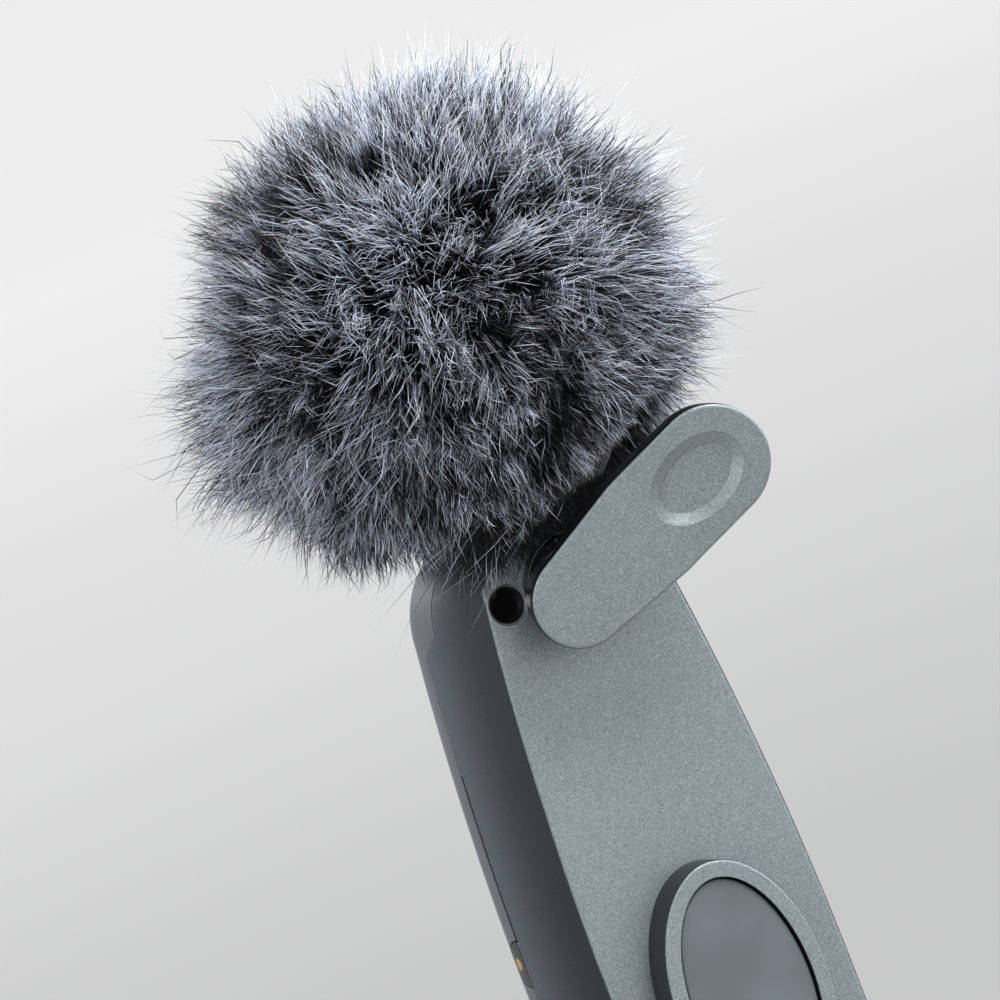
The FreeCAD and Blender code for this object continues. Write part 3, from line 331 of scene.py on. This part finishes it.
finishes = {
    "bodyPaint": (paintedFinish("bodyPaint"), ["front_cover"]),
    # the ring's side walls are painted dark all round as painted shade
    "trimPaint": (paintedFinish("trimPaint", "side", "side"), ["button_ring"]),
    # the lever plate's sides and edge band are painted near black as painted shade
    "leverPaint": (paintedFinish("leverPaint", "rim", "rim", paintedEdgeShare=0.9, edge="rim", paintedEdgeWidth=0.16, turned=0.3),
                   ["lever_plate"]),
    "backPlastic": (mouldedFinish("backPlastic", "50585f", "545c64", 0.42, edgeWearAndHighlight="8d979f"), ["back_cover"]),
    "buttonPlastic": (mouldedFinish("buttonPlastic", "5d666b", "666f75", 0.4, coat=0.05, edgeWearAndHighlight="a9b3b9"), ["power_button"]),
    "blackPlastic": (mouldedFinish("blackPlastic", "0f1013", "191b1f", 0.32, coat=0.25, edgeWearAndHighlight="3a3d42"),
                     ["clip_turntable", "clip_lever", "pivot_bush", "usb_tongue", "button_switch"]),
    "mattBlack": (mouldedFinish("mattBlack", "050506", "08080a", 0.85), ["strap_tube"]),
    "brass": (metalFinish("brass", "c9a158", "b38a42"), ["mic_neck"]),
    "gauze": (meshedFinish("gauze"), ["mic_grille"]),
    "goldPlate": (metalFinish("goldPlate", "e0b860", "cfa34a", 0.22), ["charging_contacts"]),
    "steel": (metalFinish("steel", "b9bcc0", "9da1a6", 0.28),
              ["pivot_screw", "board_screws", "usb_socket", "case_magnets"]),
    "darkSteel": (metalFinish("darkSteel", "2e3034", "222427", 0.25), ["hinge_pin", "clip_spring"]),
    "laminate": (mouldedFinish("laminate", "0d3b22", "125031", 0.35, 0.3, 0.004, 1.5), ["circuit_board"]),
    "ceramic": (mouldedFinish("ceramic", "d8d8d0", "c8c8c2", 0.5), ["antenna"]),
    "chipResin": (mouldedFinish("chipResin", "17181a", "222427", 0.55), ["board_chips"]),
    "pouchFilm": (mouldedFinish("pouchFilm", "8e9196", "a3a6ab", 0.3, 0.6, 0.01, 3, metallic=0.6), ["battery"]),
    "cellFoam": (mouldedFinish("cellFoam", "15161a", "202228", 0.9, 0.3, 0.08, 1.2), ["battery_foam"]),
    "capsuleCan": (metalFinish("capsuleCan", "c3c5c7", "adb0b3", 0.35), ["mic_capsule"]),
    "softRubber": (mouldedFinish("softRubber", "0b0b0c", "151516", 0.7, 0.2, 0.006),
                   ["capsule_boot", "friction_washer", "switch_plunger", "jaw_pad"]),
    "amberFilm": (mouldedFinish("amberFilm", "b8691d", "a55c17", 0.3, 0.4, 0.002, 1.0), ["capsule_flex"]),
    "insertPlastic": (mouldedFinish("insertPlastic", "1b1e22", "262a2f", 0.4), ["contact_insert_left", "contact_insert_right"]),
    "wovenElastic": (mouldedFinish("wovenElastic", "0c0c0d", "1c1c1e", 0.85, 0.25, 0.03, 0.5), ["elastic_band"]),
}
for finish, nodeNames in finishes.values():
    for nodeName in nodeNames:
        cadNodes[nodeName].data.materials.clear()
        cadNodes[nodeName].data.materials.append(finish.material)
print("stage: hard pieces finished; without a finish:",
      [name for name in cadNodes if not any(name in names for _, names in finishes.values())])


# ---------- modelling helpers ----------
def deselectAll():
    if bpy.context.object and bpy.context.object.mode != "OBJECT":
        ops.object.mode_set(mode="OBJECT")
    ops.object.select_all(action="DESELECT")


def startPiece(name):
    piece = bpy.context.object
    piece.name = piece.data.name = name
    return piece


def pick(piece, wanted, kind="FACE"):
    # selects the faces, edges or points whose middle and normal are wanted, in edit mode
    ops.object.mode_set(mode="EDIT")
    ops.mesh.select_mode(type=kind)
    ops.mesh.select_all(action="DESELECT")
    ops.object.mode_set(mode="OBJECT")
    for item in {"FACE": piece.data.polygons, "VERT": piece.data.vertices}[kind]:
        middle = item.center if kind == "FACE" else item.co
        item.select = wanted(middle, item.normal)
    ops.object.mode_set(mode="EDIT")


def settle(piece):
    # place, turn and size go into the mesh
    ops.object.mode_set(mode="OBJECT")
    ops.object.transform_apply(location=True, rotation=True, scale=True)


def reshape(piece, rule):
    for vertex in piece.data.vertices:
        vertex.co = rule(vertex.co)
    piece.data.update()


def applied(piece, kind, **settings):
    modifier = piece.modifiers.new(kind.title(), kind)
    for name, value in settings.items():
        setattr(modifier, name, value)
    bpy.context.view_layer.objects.active = piece
    ops.object.modifier_apply(modifier=modifier.name)


def wear(piece, finish, body):
    piece.data.materials.clear()
    piece.data.materials.append(finish.material)
    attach(piece, body)


def addFloor():
    deselectAll()
    low = cadBox[0].z
    ops.mesh.primitive_circle_add(vertices=96, radius=floorSize["flatRadius"], fill_type="TRIFAN", location=(0, 0, low))
    floor = startPiece("floor")
    ops.object.mode_set(mode="EDIT")
    ops.mesh.select_all(action="SELECT")
    ops.mesh.region_to_loop()
    steps = 10
    for step in range(1, steps + 1):
        turn = step / steps * math.pi / 2
        wide = floorSize["flatRadius"] + (floorSize["bowlRadius"] - floorSize["flatRadius"]) * math.sin(turn)
        before = floorSize["flatRadius"] + (floorSize["bowlRadius"] - floorSize["flatRadius"]) * math.sin(turn - math.pi / 2 / steps)
        high = floorSize["bowlTop"] * (math.cos(turn - math.pi / 2 / steps) - math.cos(turn))
        ops.mesh.extrude_edges_move(TRANSFORM_OT_translate={"value": (0, 0, high)})
        ops.transform.resize(value=(wide / before, wide / before, 1), center_override=(0, 0, low))
    settle(floor)
    ops.object.shade_smooth()
    finish = Finish("paleFloor", roughness=0.9)
    spot = finish.node("ShaderNodeTexCoord", output="Object")
    away = finish.node("ShaderNodeVectorMath", {"operation": "LENGTH"}, {0: spot}, "Value")
    far = 1 - (1 / (away / 0.4 + 1)) * 1.39
    near, wide, tone = floorSize["nearGlow"], floorSize["farGlow"], floorSize["tone"]
    # the floor glows by itself, dimmer near the middle and brighter far off: painted light
    finish.set(Base_Color=(tone, tone, tone), Emission_Strength=1.0)
    finish.set(Emission_Color=finish.mix(far.ease(0.0, 1.0), (near, near, near), (wide, wide, wide)))
    floor.data.materials.append(finish.material)


addFloor()
print("stage: floor")

# ---------- windscreen: cloth bag ----------
bag = {
    "axis": (0.0, 6.8),  # the neck's middle, x and y
    "hemFront": 5.4, "hemBack": 4.4,
    "hemTall": 0.35, "hemProud": 0.3, "cloth": 0.3,
    "belly": 11.8, "bellyRise": 14.0, "crown": 32.6, "bellyAside": 0.9,
    "frontLimit": -1.3, "limitStarts": 6.5, "limitSlope": 0.28,
    "seamRise": 8.3,
}


def hemRise(y):
    return bag["hemFront"] - (bag["hemFront"] - bag["hemBack"]) * y / 13.6


def solidTree(names):
    points, faces = [], []
    for name in names:
        start = len(points)
        points += [v.co / mm for v in cadNodes[name].data.vertices]
        faces += [[start + i for i in p.vertices] for p in cadNodes[name].data.polygons]
    return BVHTree.FromPolygons(points, faces)


housing = solidTree(["front_cover", "back_cover"])


def housingReach(turn, rise):
    # how far the housing reaches from the neck's axis in one direction
    away = Vector((math.cos(turn), math.sin(turn), 0))
    start = Vector((*bag["axis"], min(rise, 4.6))) + away * 40
    hit = housing.ray_cast(start, -away)[0]
    return (hit - Vector((*bag["axis"], hit.z))).length


def bagPoint(turn, share):
    # the cloth's outside: share 0 is the hem and 1 is the crown
    away = Vector((math.cos(turn), math.sin(turn)))
    y = bag["axis"][1] + away.y * housingReach(turn, 3.5)
    hem = hemRise(max(-1.0, min(14.6, y)))
    rise = hem + (bag["crown"] - hem) * share
    snug = housingReach(turn, rise) + bag["hemProud"]
    above = rise - hem - bag["hemTall"]
    if rise < bag["bellyRise"]:
        swell = max(0.0, above) / (bag["bellyRise"] - hem - bag["hemTall"])
        reach = snug + (bag["belly"] - snug) * (1 - (1 - swell) ** 2.2)
    else:
        reach = bag["belly"] * math.sqrt(max(0.0, 1 - ((rise - bag["bellyRise"]) / (bag["crown"] - bag["bellyRise"])) ** 2.3))
    aside = bag["bellyAside"] * min(1.0, max(0.0, above) / 9)
    x = bag["axis"][0] + aside + away.x * reach
    y = bag["axis"][1] + away.y * reach
    limit = bag["frontLimit"] - bag["limitSlope"] * max(0.0, rise - bag["limitStarts"]) ** 1.25
    return Vector((x, max(y, limit), rise))


def addBag():
    # a ball whose rows are laid on the housing, the belly and the crown
    deselectAll()
    rows, around = 72, 96
    ops.mesh.primitive_uv_sphere_add(segments=around, ring_count=rows, radius=1, location=(0, 0, 0))
    piece = startPiece("windscreen_bag")
    pick(piece, lambda middle, normal: middle.z < -0.999)
    ops.mesh.delete(type="FACE")
    ops.object.mode_set(mode="OBJECT")
    lowest = min(v.co.z for v in piece.data.vertices)

    def rule(co):
        polar = math.acos(max(-1.0, min(1.0, co.z)))
        share = 1 - polar / math.acos(lowest)
        return bagPoint(math.atan2(co.y, co.x), share ** 1.15) * mm

    reshape(piece, rule)
    return piece


skin = addBag()
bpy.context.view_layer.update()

clothLook = {"yarn": 0.22, "dark": "0d0c0e", "light": "2b2a2e"}


def knitFinish(name):
    # fine jersey: rows of small loops round the piece
    finish = Finish(name, roughness=0.9)
    spot = finish.node("ShaderNodeTexCoord", output="Object")
    x, y, z = (finish.axis(spot, letter) for letter in "XYZ")
    turn = finish.node("ShaderNodeMath", {"operation": "ARCTAN2"}, {0: y - 6.8 * mm, 1: x})
    column = (turn * 75).maths("SINE")
    row = (z * (2 * math.pi / (clothLook["yarn"] * mm)) + column.maths("ABSOLUTE") * 2.4).maths("SINE")
    fuzz = finish.noise(0.12, 4)
    loops = (row * 0.5 + 0.5) * (column.maths("ABSOLUTE") * 0.6 + 0.4)
    tone = (loops * 0.7 + fuzz * 0.5).ease(0.15, 1.0)
    finish.set(Base_Color=finish.mix(tone, srgb(clothLook["dark"]), srgb(clothLook["light"])))
    finish.bump(loops + fuzz * 0.6, 0.07)
    finish.shader.inputs["Sheen Weight"].default_value = 0.25
    return finish


knit = knitFinish("knitCloth")


def addSleeveAndBacking():
    # the bag is cut in two at the seam: the sleeve below, the pile's backing above
    deselectAll()
    skin.select_set(True)
    bpy.context.view_layer.objects.active = skin
    pick(skin, lambda middle, normal: middle.z < bag["seamRise"] * mm)
    ops.mesh.separate(type="SELECTED")
    ops.object.mode_set(mode="OBJECT")
    sleeve = [o for o in bpy.context.selected_objects if o is not skin][0]
    sleeve.name = sleeve.data.name = "sleeve"
    skin.name = skin.data.name = "fur_backing"
    for piece in (sleeve, skin):
        deselectAll()
        piece.select_set(True)
        bpy.context.view_layer.objects.active = piece
        applied(piece, "SOLIDIFY", thickness=bag["cloth"] * mm, offset=-1)
        ops.object.shade_smooth()
    wear(sleeve, knit, "windscreen")
    wear(skin, knit, "windscreen")
    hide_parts("windscreen_sleeve", "elastic_band")
    return sleeve, skin


# ---------- windscreen: fur ----------
fur = {
    "seed": 11,
    "centre": (1.0, 6.8, 21.0),
    "strands": 60000,
    "width": 0.044,
    "gather": [(150, 0.35, 0.42), (900, 0.6, 0.26), (6000, 0.5, 0.2)],  # how many, pull, lean
    "droopRise": 13.0,
    "furthest": 25.6,  # no tip stands further from the centre
    "locks": 1500,
    "sectors": 8,
    "reach": [  # direction in the front view in degrees, dense and outermost radius
        (0, 19.0, 21.4), (15, 18.4, 20.8), (30, 18.0, 20.2), (45, 17.6, 19.8), (60, 17.0, 19.0), (75, 16.6, 18.8),
        (90, 16.4, 18.6), (105, 16.8, 19.1), (120, 16.6, 19.8), (135, 18.0, 19.7), (150, 17.8, 19.2), (165, 17.8, 20.0),
        (180, 19.4, 21.8), (195, 21.0, 25.4), (210, 19.6, 23.0), (225, 18.2, 21.6), (235, 18.0, 22.4), (250, 16.6, 20.0),
        (270, 16.2, 20.0), (300, 17.0, 20.4), (330, 19.0, 22.4), (345, 19.2, 21.8), (360, 19.0, 21.4),
    ],
}


def addHairPattern():
    # one hair, a unit long and three-sided, with cuts that let it bend
    deselectAll()
    ops.mesh.primitive_cone_add(vertices=3, radius1=1, radius2=0, depth=1, location=(0, 0, 0.5))
    hair = startPiece("hair_pattern")
    for cut in (0.25, 0.5, 0.75):
        ops.object.mode_set(mode="EDIT")
        ops.mesh.select_all(action="SELECT")
        ops.mesh.bisect(plane_co=(0, 0, cut), plane_no=(0, 0, 1))
    settle(hair)
    co = np.array([v.co for v in hair.data.vertices])
    polygons = [list(p.vertices) for p in hair.data.polygons]
    bpy.data.objects.remove(hair)
    return co, polygons


def unit(vectors):
    return vectors / np.maximum(np.linalg.norm(vectors, axis=1, keepdims=True), 1e-9)


def rootsOn(piece, count, random, lowest):
    # random points on the backing's outside with its normals there
    mesh = piece.data
    mesh.calc_loop_triangles()
    co = np.array([v.co for v in mesh.vertices]) / mm
    normals = np.array([v.normal for v in mesh.vertices])
    triangles = np.array([t.vertices for t in mesh.loop_triangles])
    a, b, c = (co[triangles[:, i]] for i in range(3))
    area = np.linalg.norm(np.cross(b - a, c - a), axis=1)
    area = np.where((a[:, 2] + b[:, 2] + c[:, 2]) / 3 > lowest, area, 0)
    chosen = random.choice(len(area), count, p=area / area.sum())
    u, v = random.random((2, count, 1))
    u, v = np.where(u + v > 1, 1 - u, u), np.where(u + v > 1, 1 - v, v)
    places = a[chosen] + u * (b[chosen] - a[chosen]) + v * (c[chosen] - a[chosen])
    t = triangles[chosen]
    looks = unit((1 - u - v) * normals[t[:, 0]] + u * normals[t[:, 1]] + v * normals[t[:, 2]])
    return places, looks


def nearest(places, centres):
    tree = KDTree(len(centres))
    for i, point in enumerate(centres):
        tree.insert(point, i)
    tree.balance()
    return np.array([tree.find(point)[1] for point in places])


def reachOf(places, outer):
    # the fur's radius in each direction of the front view, dense or outermost
    offset = places - np.array(fur["centre"])
    turn = np.degrees(np.arctan2(offset[:, 2], offset[:, 0])) % 360
    table = np.array(fur["reach"])
    flat = np.linalg.norm(offset[:, [0, 2]], axis=1) / np.maximum(np.linalg.norm(offset, axis=1), 1e-9)
    low, high = (np.interp(turn, table[:, 0], table[:, column]) for column in (1, 2))
    side = low + (high - low) * outer
    return side * flat + (16.6 + 1.8 * outer) * (1 - flat)


def inLeverRoom(points):
    # True for a point inside the room of the clip's lever at rest
    turn = math.radians(24.7)
    along = points[..., 0] * math.cos(turn) + points[..., 2] * math.sin(turn)
    across = -points[..., 0] * math.sin(turn) + points[..., 2] * math.cos(turn)
    return (along > -5.4) & (along < 16.6) & (np.abs(across) < 4.7) & (points[..., 1] < -0.6)


def strandPaths(roots, looks, random):
    # five points along each hair, pulled towards its clump and its wisp
    count = len(roots)
    centre = np.array(fur["centre"])
    outward = unit(roots - centre)
    outer = random.random(count) ** 2.2
    length = np.maximum(reachOf(roots, outer) - np.linalg.norm(roots - centre, axis=1), 3.0)
    length *= 1 + 0.08 * random.standard_normal(count)
    droop = np.clip((fur["droopRise"] - roots[:, 2]) / 6, 0, 1)[:, None] * np.array([0, 0, -0.8])
    heading = unit(looks * 0.45 + outward * 0.55 + droop + 0.10 * random.standard_normal((count, 3)))
    tuftTone = np.zeros(count)
    tips = roots + heading * length[:, None]
    for amount, pull, lean in fur["gather"]:
        heads = random.choice(count, amount, replace=False)
        mine = nearest(roots, roots[heads])
        leaning = unit(heading[heads] + lean * random.standard_normal((amount, 3)))
        stretch = 1 + 0.16 * random.standard_normal(amount)
        share = pull * (0.6 + 0.6 * random.random(count))[:, None]
        goal = roots[heads][mine] + leaning[mine] * (length * stretch[mine])[:, None]
        tips = tips * (1 - share) + goal * share
        tuftTone += random.standard_normal(amount)[mine]
    tips += 0.25 * random.standard_normal((count, 3))
    far = np.linalg.norm(tips - centre, axis=1, keepdims=True)
    tips = centre + (tips - centre) * np.minimum(1, fur["furthest"] / far)
    heads = random.choice(count, fur["locks"], replace=False)
    sway = 0.17 * random.standard_normal((fur["locks"], 3))[nearest(roots, roots[heads])]
    first = roots + looks * (length * 0.34)[:, None]
    second = roots * 0.36 + tips * 0.64 + length[:, None] * (sway + 0.07 * random.standard_normal((count, 3)))
    return (*trimmedPaths([p[:, None, :] for p in (roots, first, second, tips)], count), tuftTone)


def trimmedPaths(corners, count):
    # points along the curves, which stop short of the clip's lever; one with no room gets no length
    share = np.zeros(count)
    for part in (0.3, 0.45, 0.6, 0.8, 1.0):
        reaches = ~inLeverRoom(curvePoints(corners, np.full(count, part), 9)).any(axis=1)
        share = np.where(reaches, part, share)
    return curvePoints(corners, share, 5), share


def curvePoints(corners, share, number):
    t = np.linspace(0, 1, number)[None, :, None] * share[:, None, None]
    a, b, c, d = corners
    return a * (1 - t) ** 3 + 3 * b * t * (1 - t) ** 2 + 3 * c * t * t * (1 - t) + d * t ** 3


def hairMesh(name, paths, tones, widths, pattern):
    # the pattern copied along every path, with a map of tone across and place along the hair
    shape, polygons = pattern
    count, ringsCount = len(paths), paths.shape[1]
    level = np.rint(shape[:, 2] * (ringsCount - 1)).astype(int)
    turn = np.arctan2(shape[:, 1], shape[:, 0])
    tipped = level == ringsCount - 1
    taper = np.array([0.8, 1.0, 0.95, 0.7, 0.0])[level]
    heading = unit((paths[:, -1] - paths[:, 0]))
    side = unit(np.cross(heading, np.array([0.31, 0.83, 0.46])))
    other = np.cross(heading, side)
    spread = np.cos(turn)[None, :, None] * side[:, None, :] + np.sin(turn)[None, :, None] * other[:, None, :]
    places = paths[:, level] + spread * (taper[None, :] * widths[:, None])[..., None]
    places = places.reshape(-1, 3) * mm
    cornersOne = np.concatenate([np.array(p) for p in polygons])
    sizes = np.array([len(p) for p in polygons])
    verticesPer, loopsPer, facesPer = len(shape), len(cornersOne), len(polygons)
    corners = (cornersOne[None, :] + verticesPer * np.arange(count)[:, None]).ravel()
    starts = (np.concatenate([[0], np.cumsum(sizes)[:-1]])[None, :] + loopsPer * np.arange(count)[:, None]).ravel()
    mesh = bpy.data.meshes.new(name)
    mesh.vertices.add(len(places))
    mesh.vertices.foreach_set("co", places.astype(np.float32).ravel())
    mesh.loops.add(len(corners))
    mesh.loops.foreach_set("vertex_index", corners.astype(np.int32))
    mesh.polygons.add(facesPer * count)
    mesh.polygons.foreach_set("loop_start", starts.astype(np.int32))
    mesh.polygons.foreach_set("use_smooth", np.ones(facesPer * count, bool))
    mesh.update(calc_edges=True)
    cornerLevel = level[cornersOne] / (ringsCount - 1)
    wide = ((turn[cornersOne] / math.tau) % 1.0) * 0.012
    uv = np.empty((count, loopsPer, 2), np.float32)
    uv[..., 0] = tones[:, None] * 0.98 + wide[None, :] + 0.002
    uv[..., 1] = 0.01 + 0.98 * cornerLevel[None, :]
    layer = mesh.uv_layers.new(name="OFBake")
    layer.data.foreach_set("uv", uv.ravel())
    mesh.validate()
    piece = bpy.data.objects.new(name, mesh)
    bpy.context.scene.collection.objects.link(piece)
    return piece


furLook = {"root": "060608", "under": "101114", "middle": "586172", "tip": "d9e3f8", "brightTip": "ffffff"}


def furFinish():
    # black at the root, pale blue-white towards the tip; some hairs stay dark
    finish = Finish("furPile", roughness=0.5)
    spot = finish.node("ShaderNodeUVMap", {"uv_map": "OFBake"})
    tone, along = finish.axis(spot, "X"), finish.axis(spot, "Y")
    start = 0.76 - tone * 0.3
    pale = ((along - start) / 0.3).ease(0.0, 1.0)
    dark = finish.mix(along.ease(0.1, 0.9), srgb(furLook["root"]), srgb(furLook["under"]))
    light = finish.mix(tone.ease(0.1, 1.0), srgb(furLook["middle"]), srgb(furLook["tip"]))
    light = finish.mix(along.ease(0.75, 1.0) * tone, light, srgb(furLook["brightTip"]))
    finish.set(Base_Color=finish.mix(pale * tone.ease(0.08, 0.36), dark, light))
    return finish


furLookFinish = furFinish()


def addFur(backing):
    random = np.random.default_rng(fur["seed"])
    count = fur["strands"]
    roots, looks = rootsOn(backing, count, random, bag["seamRise"] - 0.8)
    paths, share, tuftTone = strandPaths(roots, looks, random)
    paths, roots, tuftTone = paths[share > 0], roots[share > 0], tuftTone[share > 0]
    count = len(paths)
    tones = np.clip(0.5 + 0.17 * tuftTone + 0.26 * random.standard_normal(count), 0, 1)
    widths = fur["width"] * (0.75 + 0.5 * random.random(count))
    middle = np.array(fur["centre"])
    turn = np.arctan2(roots[:, 1] - middle[1], roots[:, 0] - middle[0]) % math.tau
    order = np.argsort(turn)
    pattern = addHairPattern()
    for number, share in enumerate(np.array_split(order, fur["sectors"]), start=1):
        piece = hairMesh("fur_%d" % number, paths[share], tones[share], widths[share], pattern)
        wear(piece, furLookFinish, "windscreen")
    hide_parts("fur_cover")
    print("stage: fur of", count, "strands")


looseAndShadowHair = {
    "seed": 23, "lowest": -2.5, "front": -0.45,
    "kinds": [  # how many, width, root x, root y, root z, drop, out, aside, bow, tone
        (300, 0.024, (-5.0, 6.5), (-1.6, 0.6), (6.0, 9.5), (2.0, 8.0), 2.4, 4.2, 1.5, (0.55, 1.0)),
        # dark short hairs over the face's top: painted shade for the fur's shadow there
        (5200, 0.035, (-6.5, 7.0), (-1.2, 0.4), (5.6, 8.5), (1.5, 5.2), 1.2, 1.3, 0.5, (0.0, 0.06)),
        # dark hairs beside the housing: painted shade filling a dark gap
        (1500, 0.035, (5.0, 9.6), (0.4, 5.0), (6.8, 9.0), (0.8, 2.6), 0.8, 0.7, 0.3, (0.0, 0.2)),
    ],
}


def addLooseAndShadowHair():
    # hairs that stray out of the pile's lower edge: pale long ones; the dark short ones and those beside the housing
    # are painted shade, dark hair laid where the fur's shadow falls
    random = np.random.default_rng(looseAndShadowHair["seed"])
    paths, tones, widths = [], [], []
    for count, width, rootX, rootY, rootZ, drop, out, aside, bow, tone in looseAndShadowHair["kinds"]:
        count = count
        low, high = np.array([rootX, rootY, rootZ]).T
        roots = low + (high - low) * random.random((count, 3))
        tips = roots + np.stack([aside * random.standard_normal(count), -out * random.random(count),
                                 -random.uniform(*drop, count)], axis=1)
        tips[:, 2] = np.maximum(tips[:, 2], looseAndShadowHair["lowest"])
        bend = bow * np.stack([random.standard_normal(count), -0.3 - random.random(count), np.zeros(count)], axis=1)
        first = roots * 0.67 + tips * 0.33 + bend
        second = roots * 0.33 + tips * 0.67 + bend * 0.8 + 0.35 * random.standard_normal((count, 3))
        if rootY[0] < 0:
            for points in (first, second, tips):
                points[:, 1] = np.minimum(points[:, 1], looseAndShadowHair["front"])
        path, share = trimmedPaths([p[:, None, :] for p in (roots, first, second, tips)], count)
        kept = share > 0
        paths.append(path[kept])
        tones.append(random.uniform(*tone, count)[kept])
        widths.append(np.full(kept.sum(), width))
    piece = hairMesh("loose_hair", np.concatenate(paths), np.concatenate(tones), np.concatenate(widths), addHairPattern())
    wear(piece, furLookFinish, "windscreen")


sleevePiece, backingPiece = addSleeveAndBacking()
addFur(backingPiece)
addLooseAndShadowHair()

# ---------- windscreen: foam ----------
foamLook = {"voxel": 0.45, "pores": 0.22}


def addFoam():
    # the liner's solid, merged and remeshed so that its skin can be pitted
    deselectAll()
    source = cadNodes["windscreen_foam"]
    piece = bpy.data.objects.new("foam_liner", source.data.copy())
    bpy.context.scene.collection.objects.link(piece)
    piece.select_set(True)
    bpy.context.view_layer.objects.active = piece
    ops.object.mode_set(mode="EDIT")
    ops.mesh.select_all(action="SELECT")
    ops.mesh.remove_doubles(threshold=0.00001)
    ops.object.mode_set(mode="OBJECT")
    applied(piece, "REMESH", mode="VOXEL", voxel_size=foamLook["voxel"] * mm)
    pores = bpy.data.textures.new("foamPores", "CLOUDS")
    pores.noise_scale = 0.0012
    applied(piece, "DISPLACE", texture=pores, strength=foamLook["pores"] * mm, mid_level=0.9, texture_coords="LOCAL")
    ops.object.shade_smooth()
    finish = mouldedFinish("openFoam", "131418", "23252b", 0.95, 0.35, 0.12, 0.8)
    wear(piece, finish, "windscreen")
    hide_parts("windscreen_foam")


addFoam()
print("stage: foam")
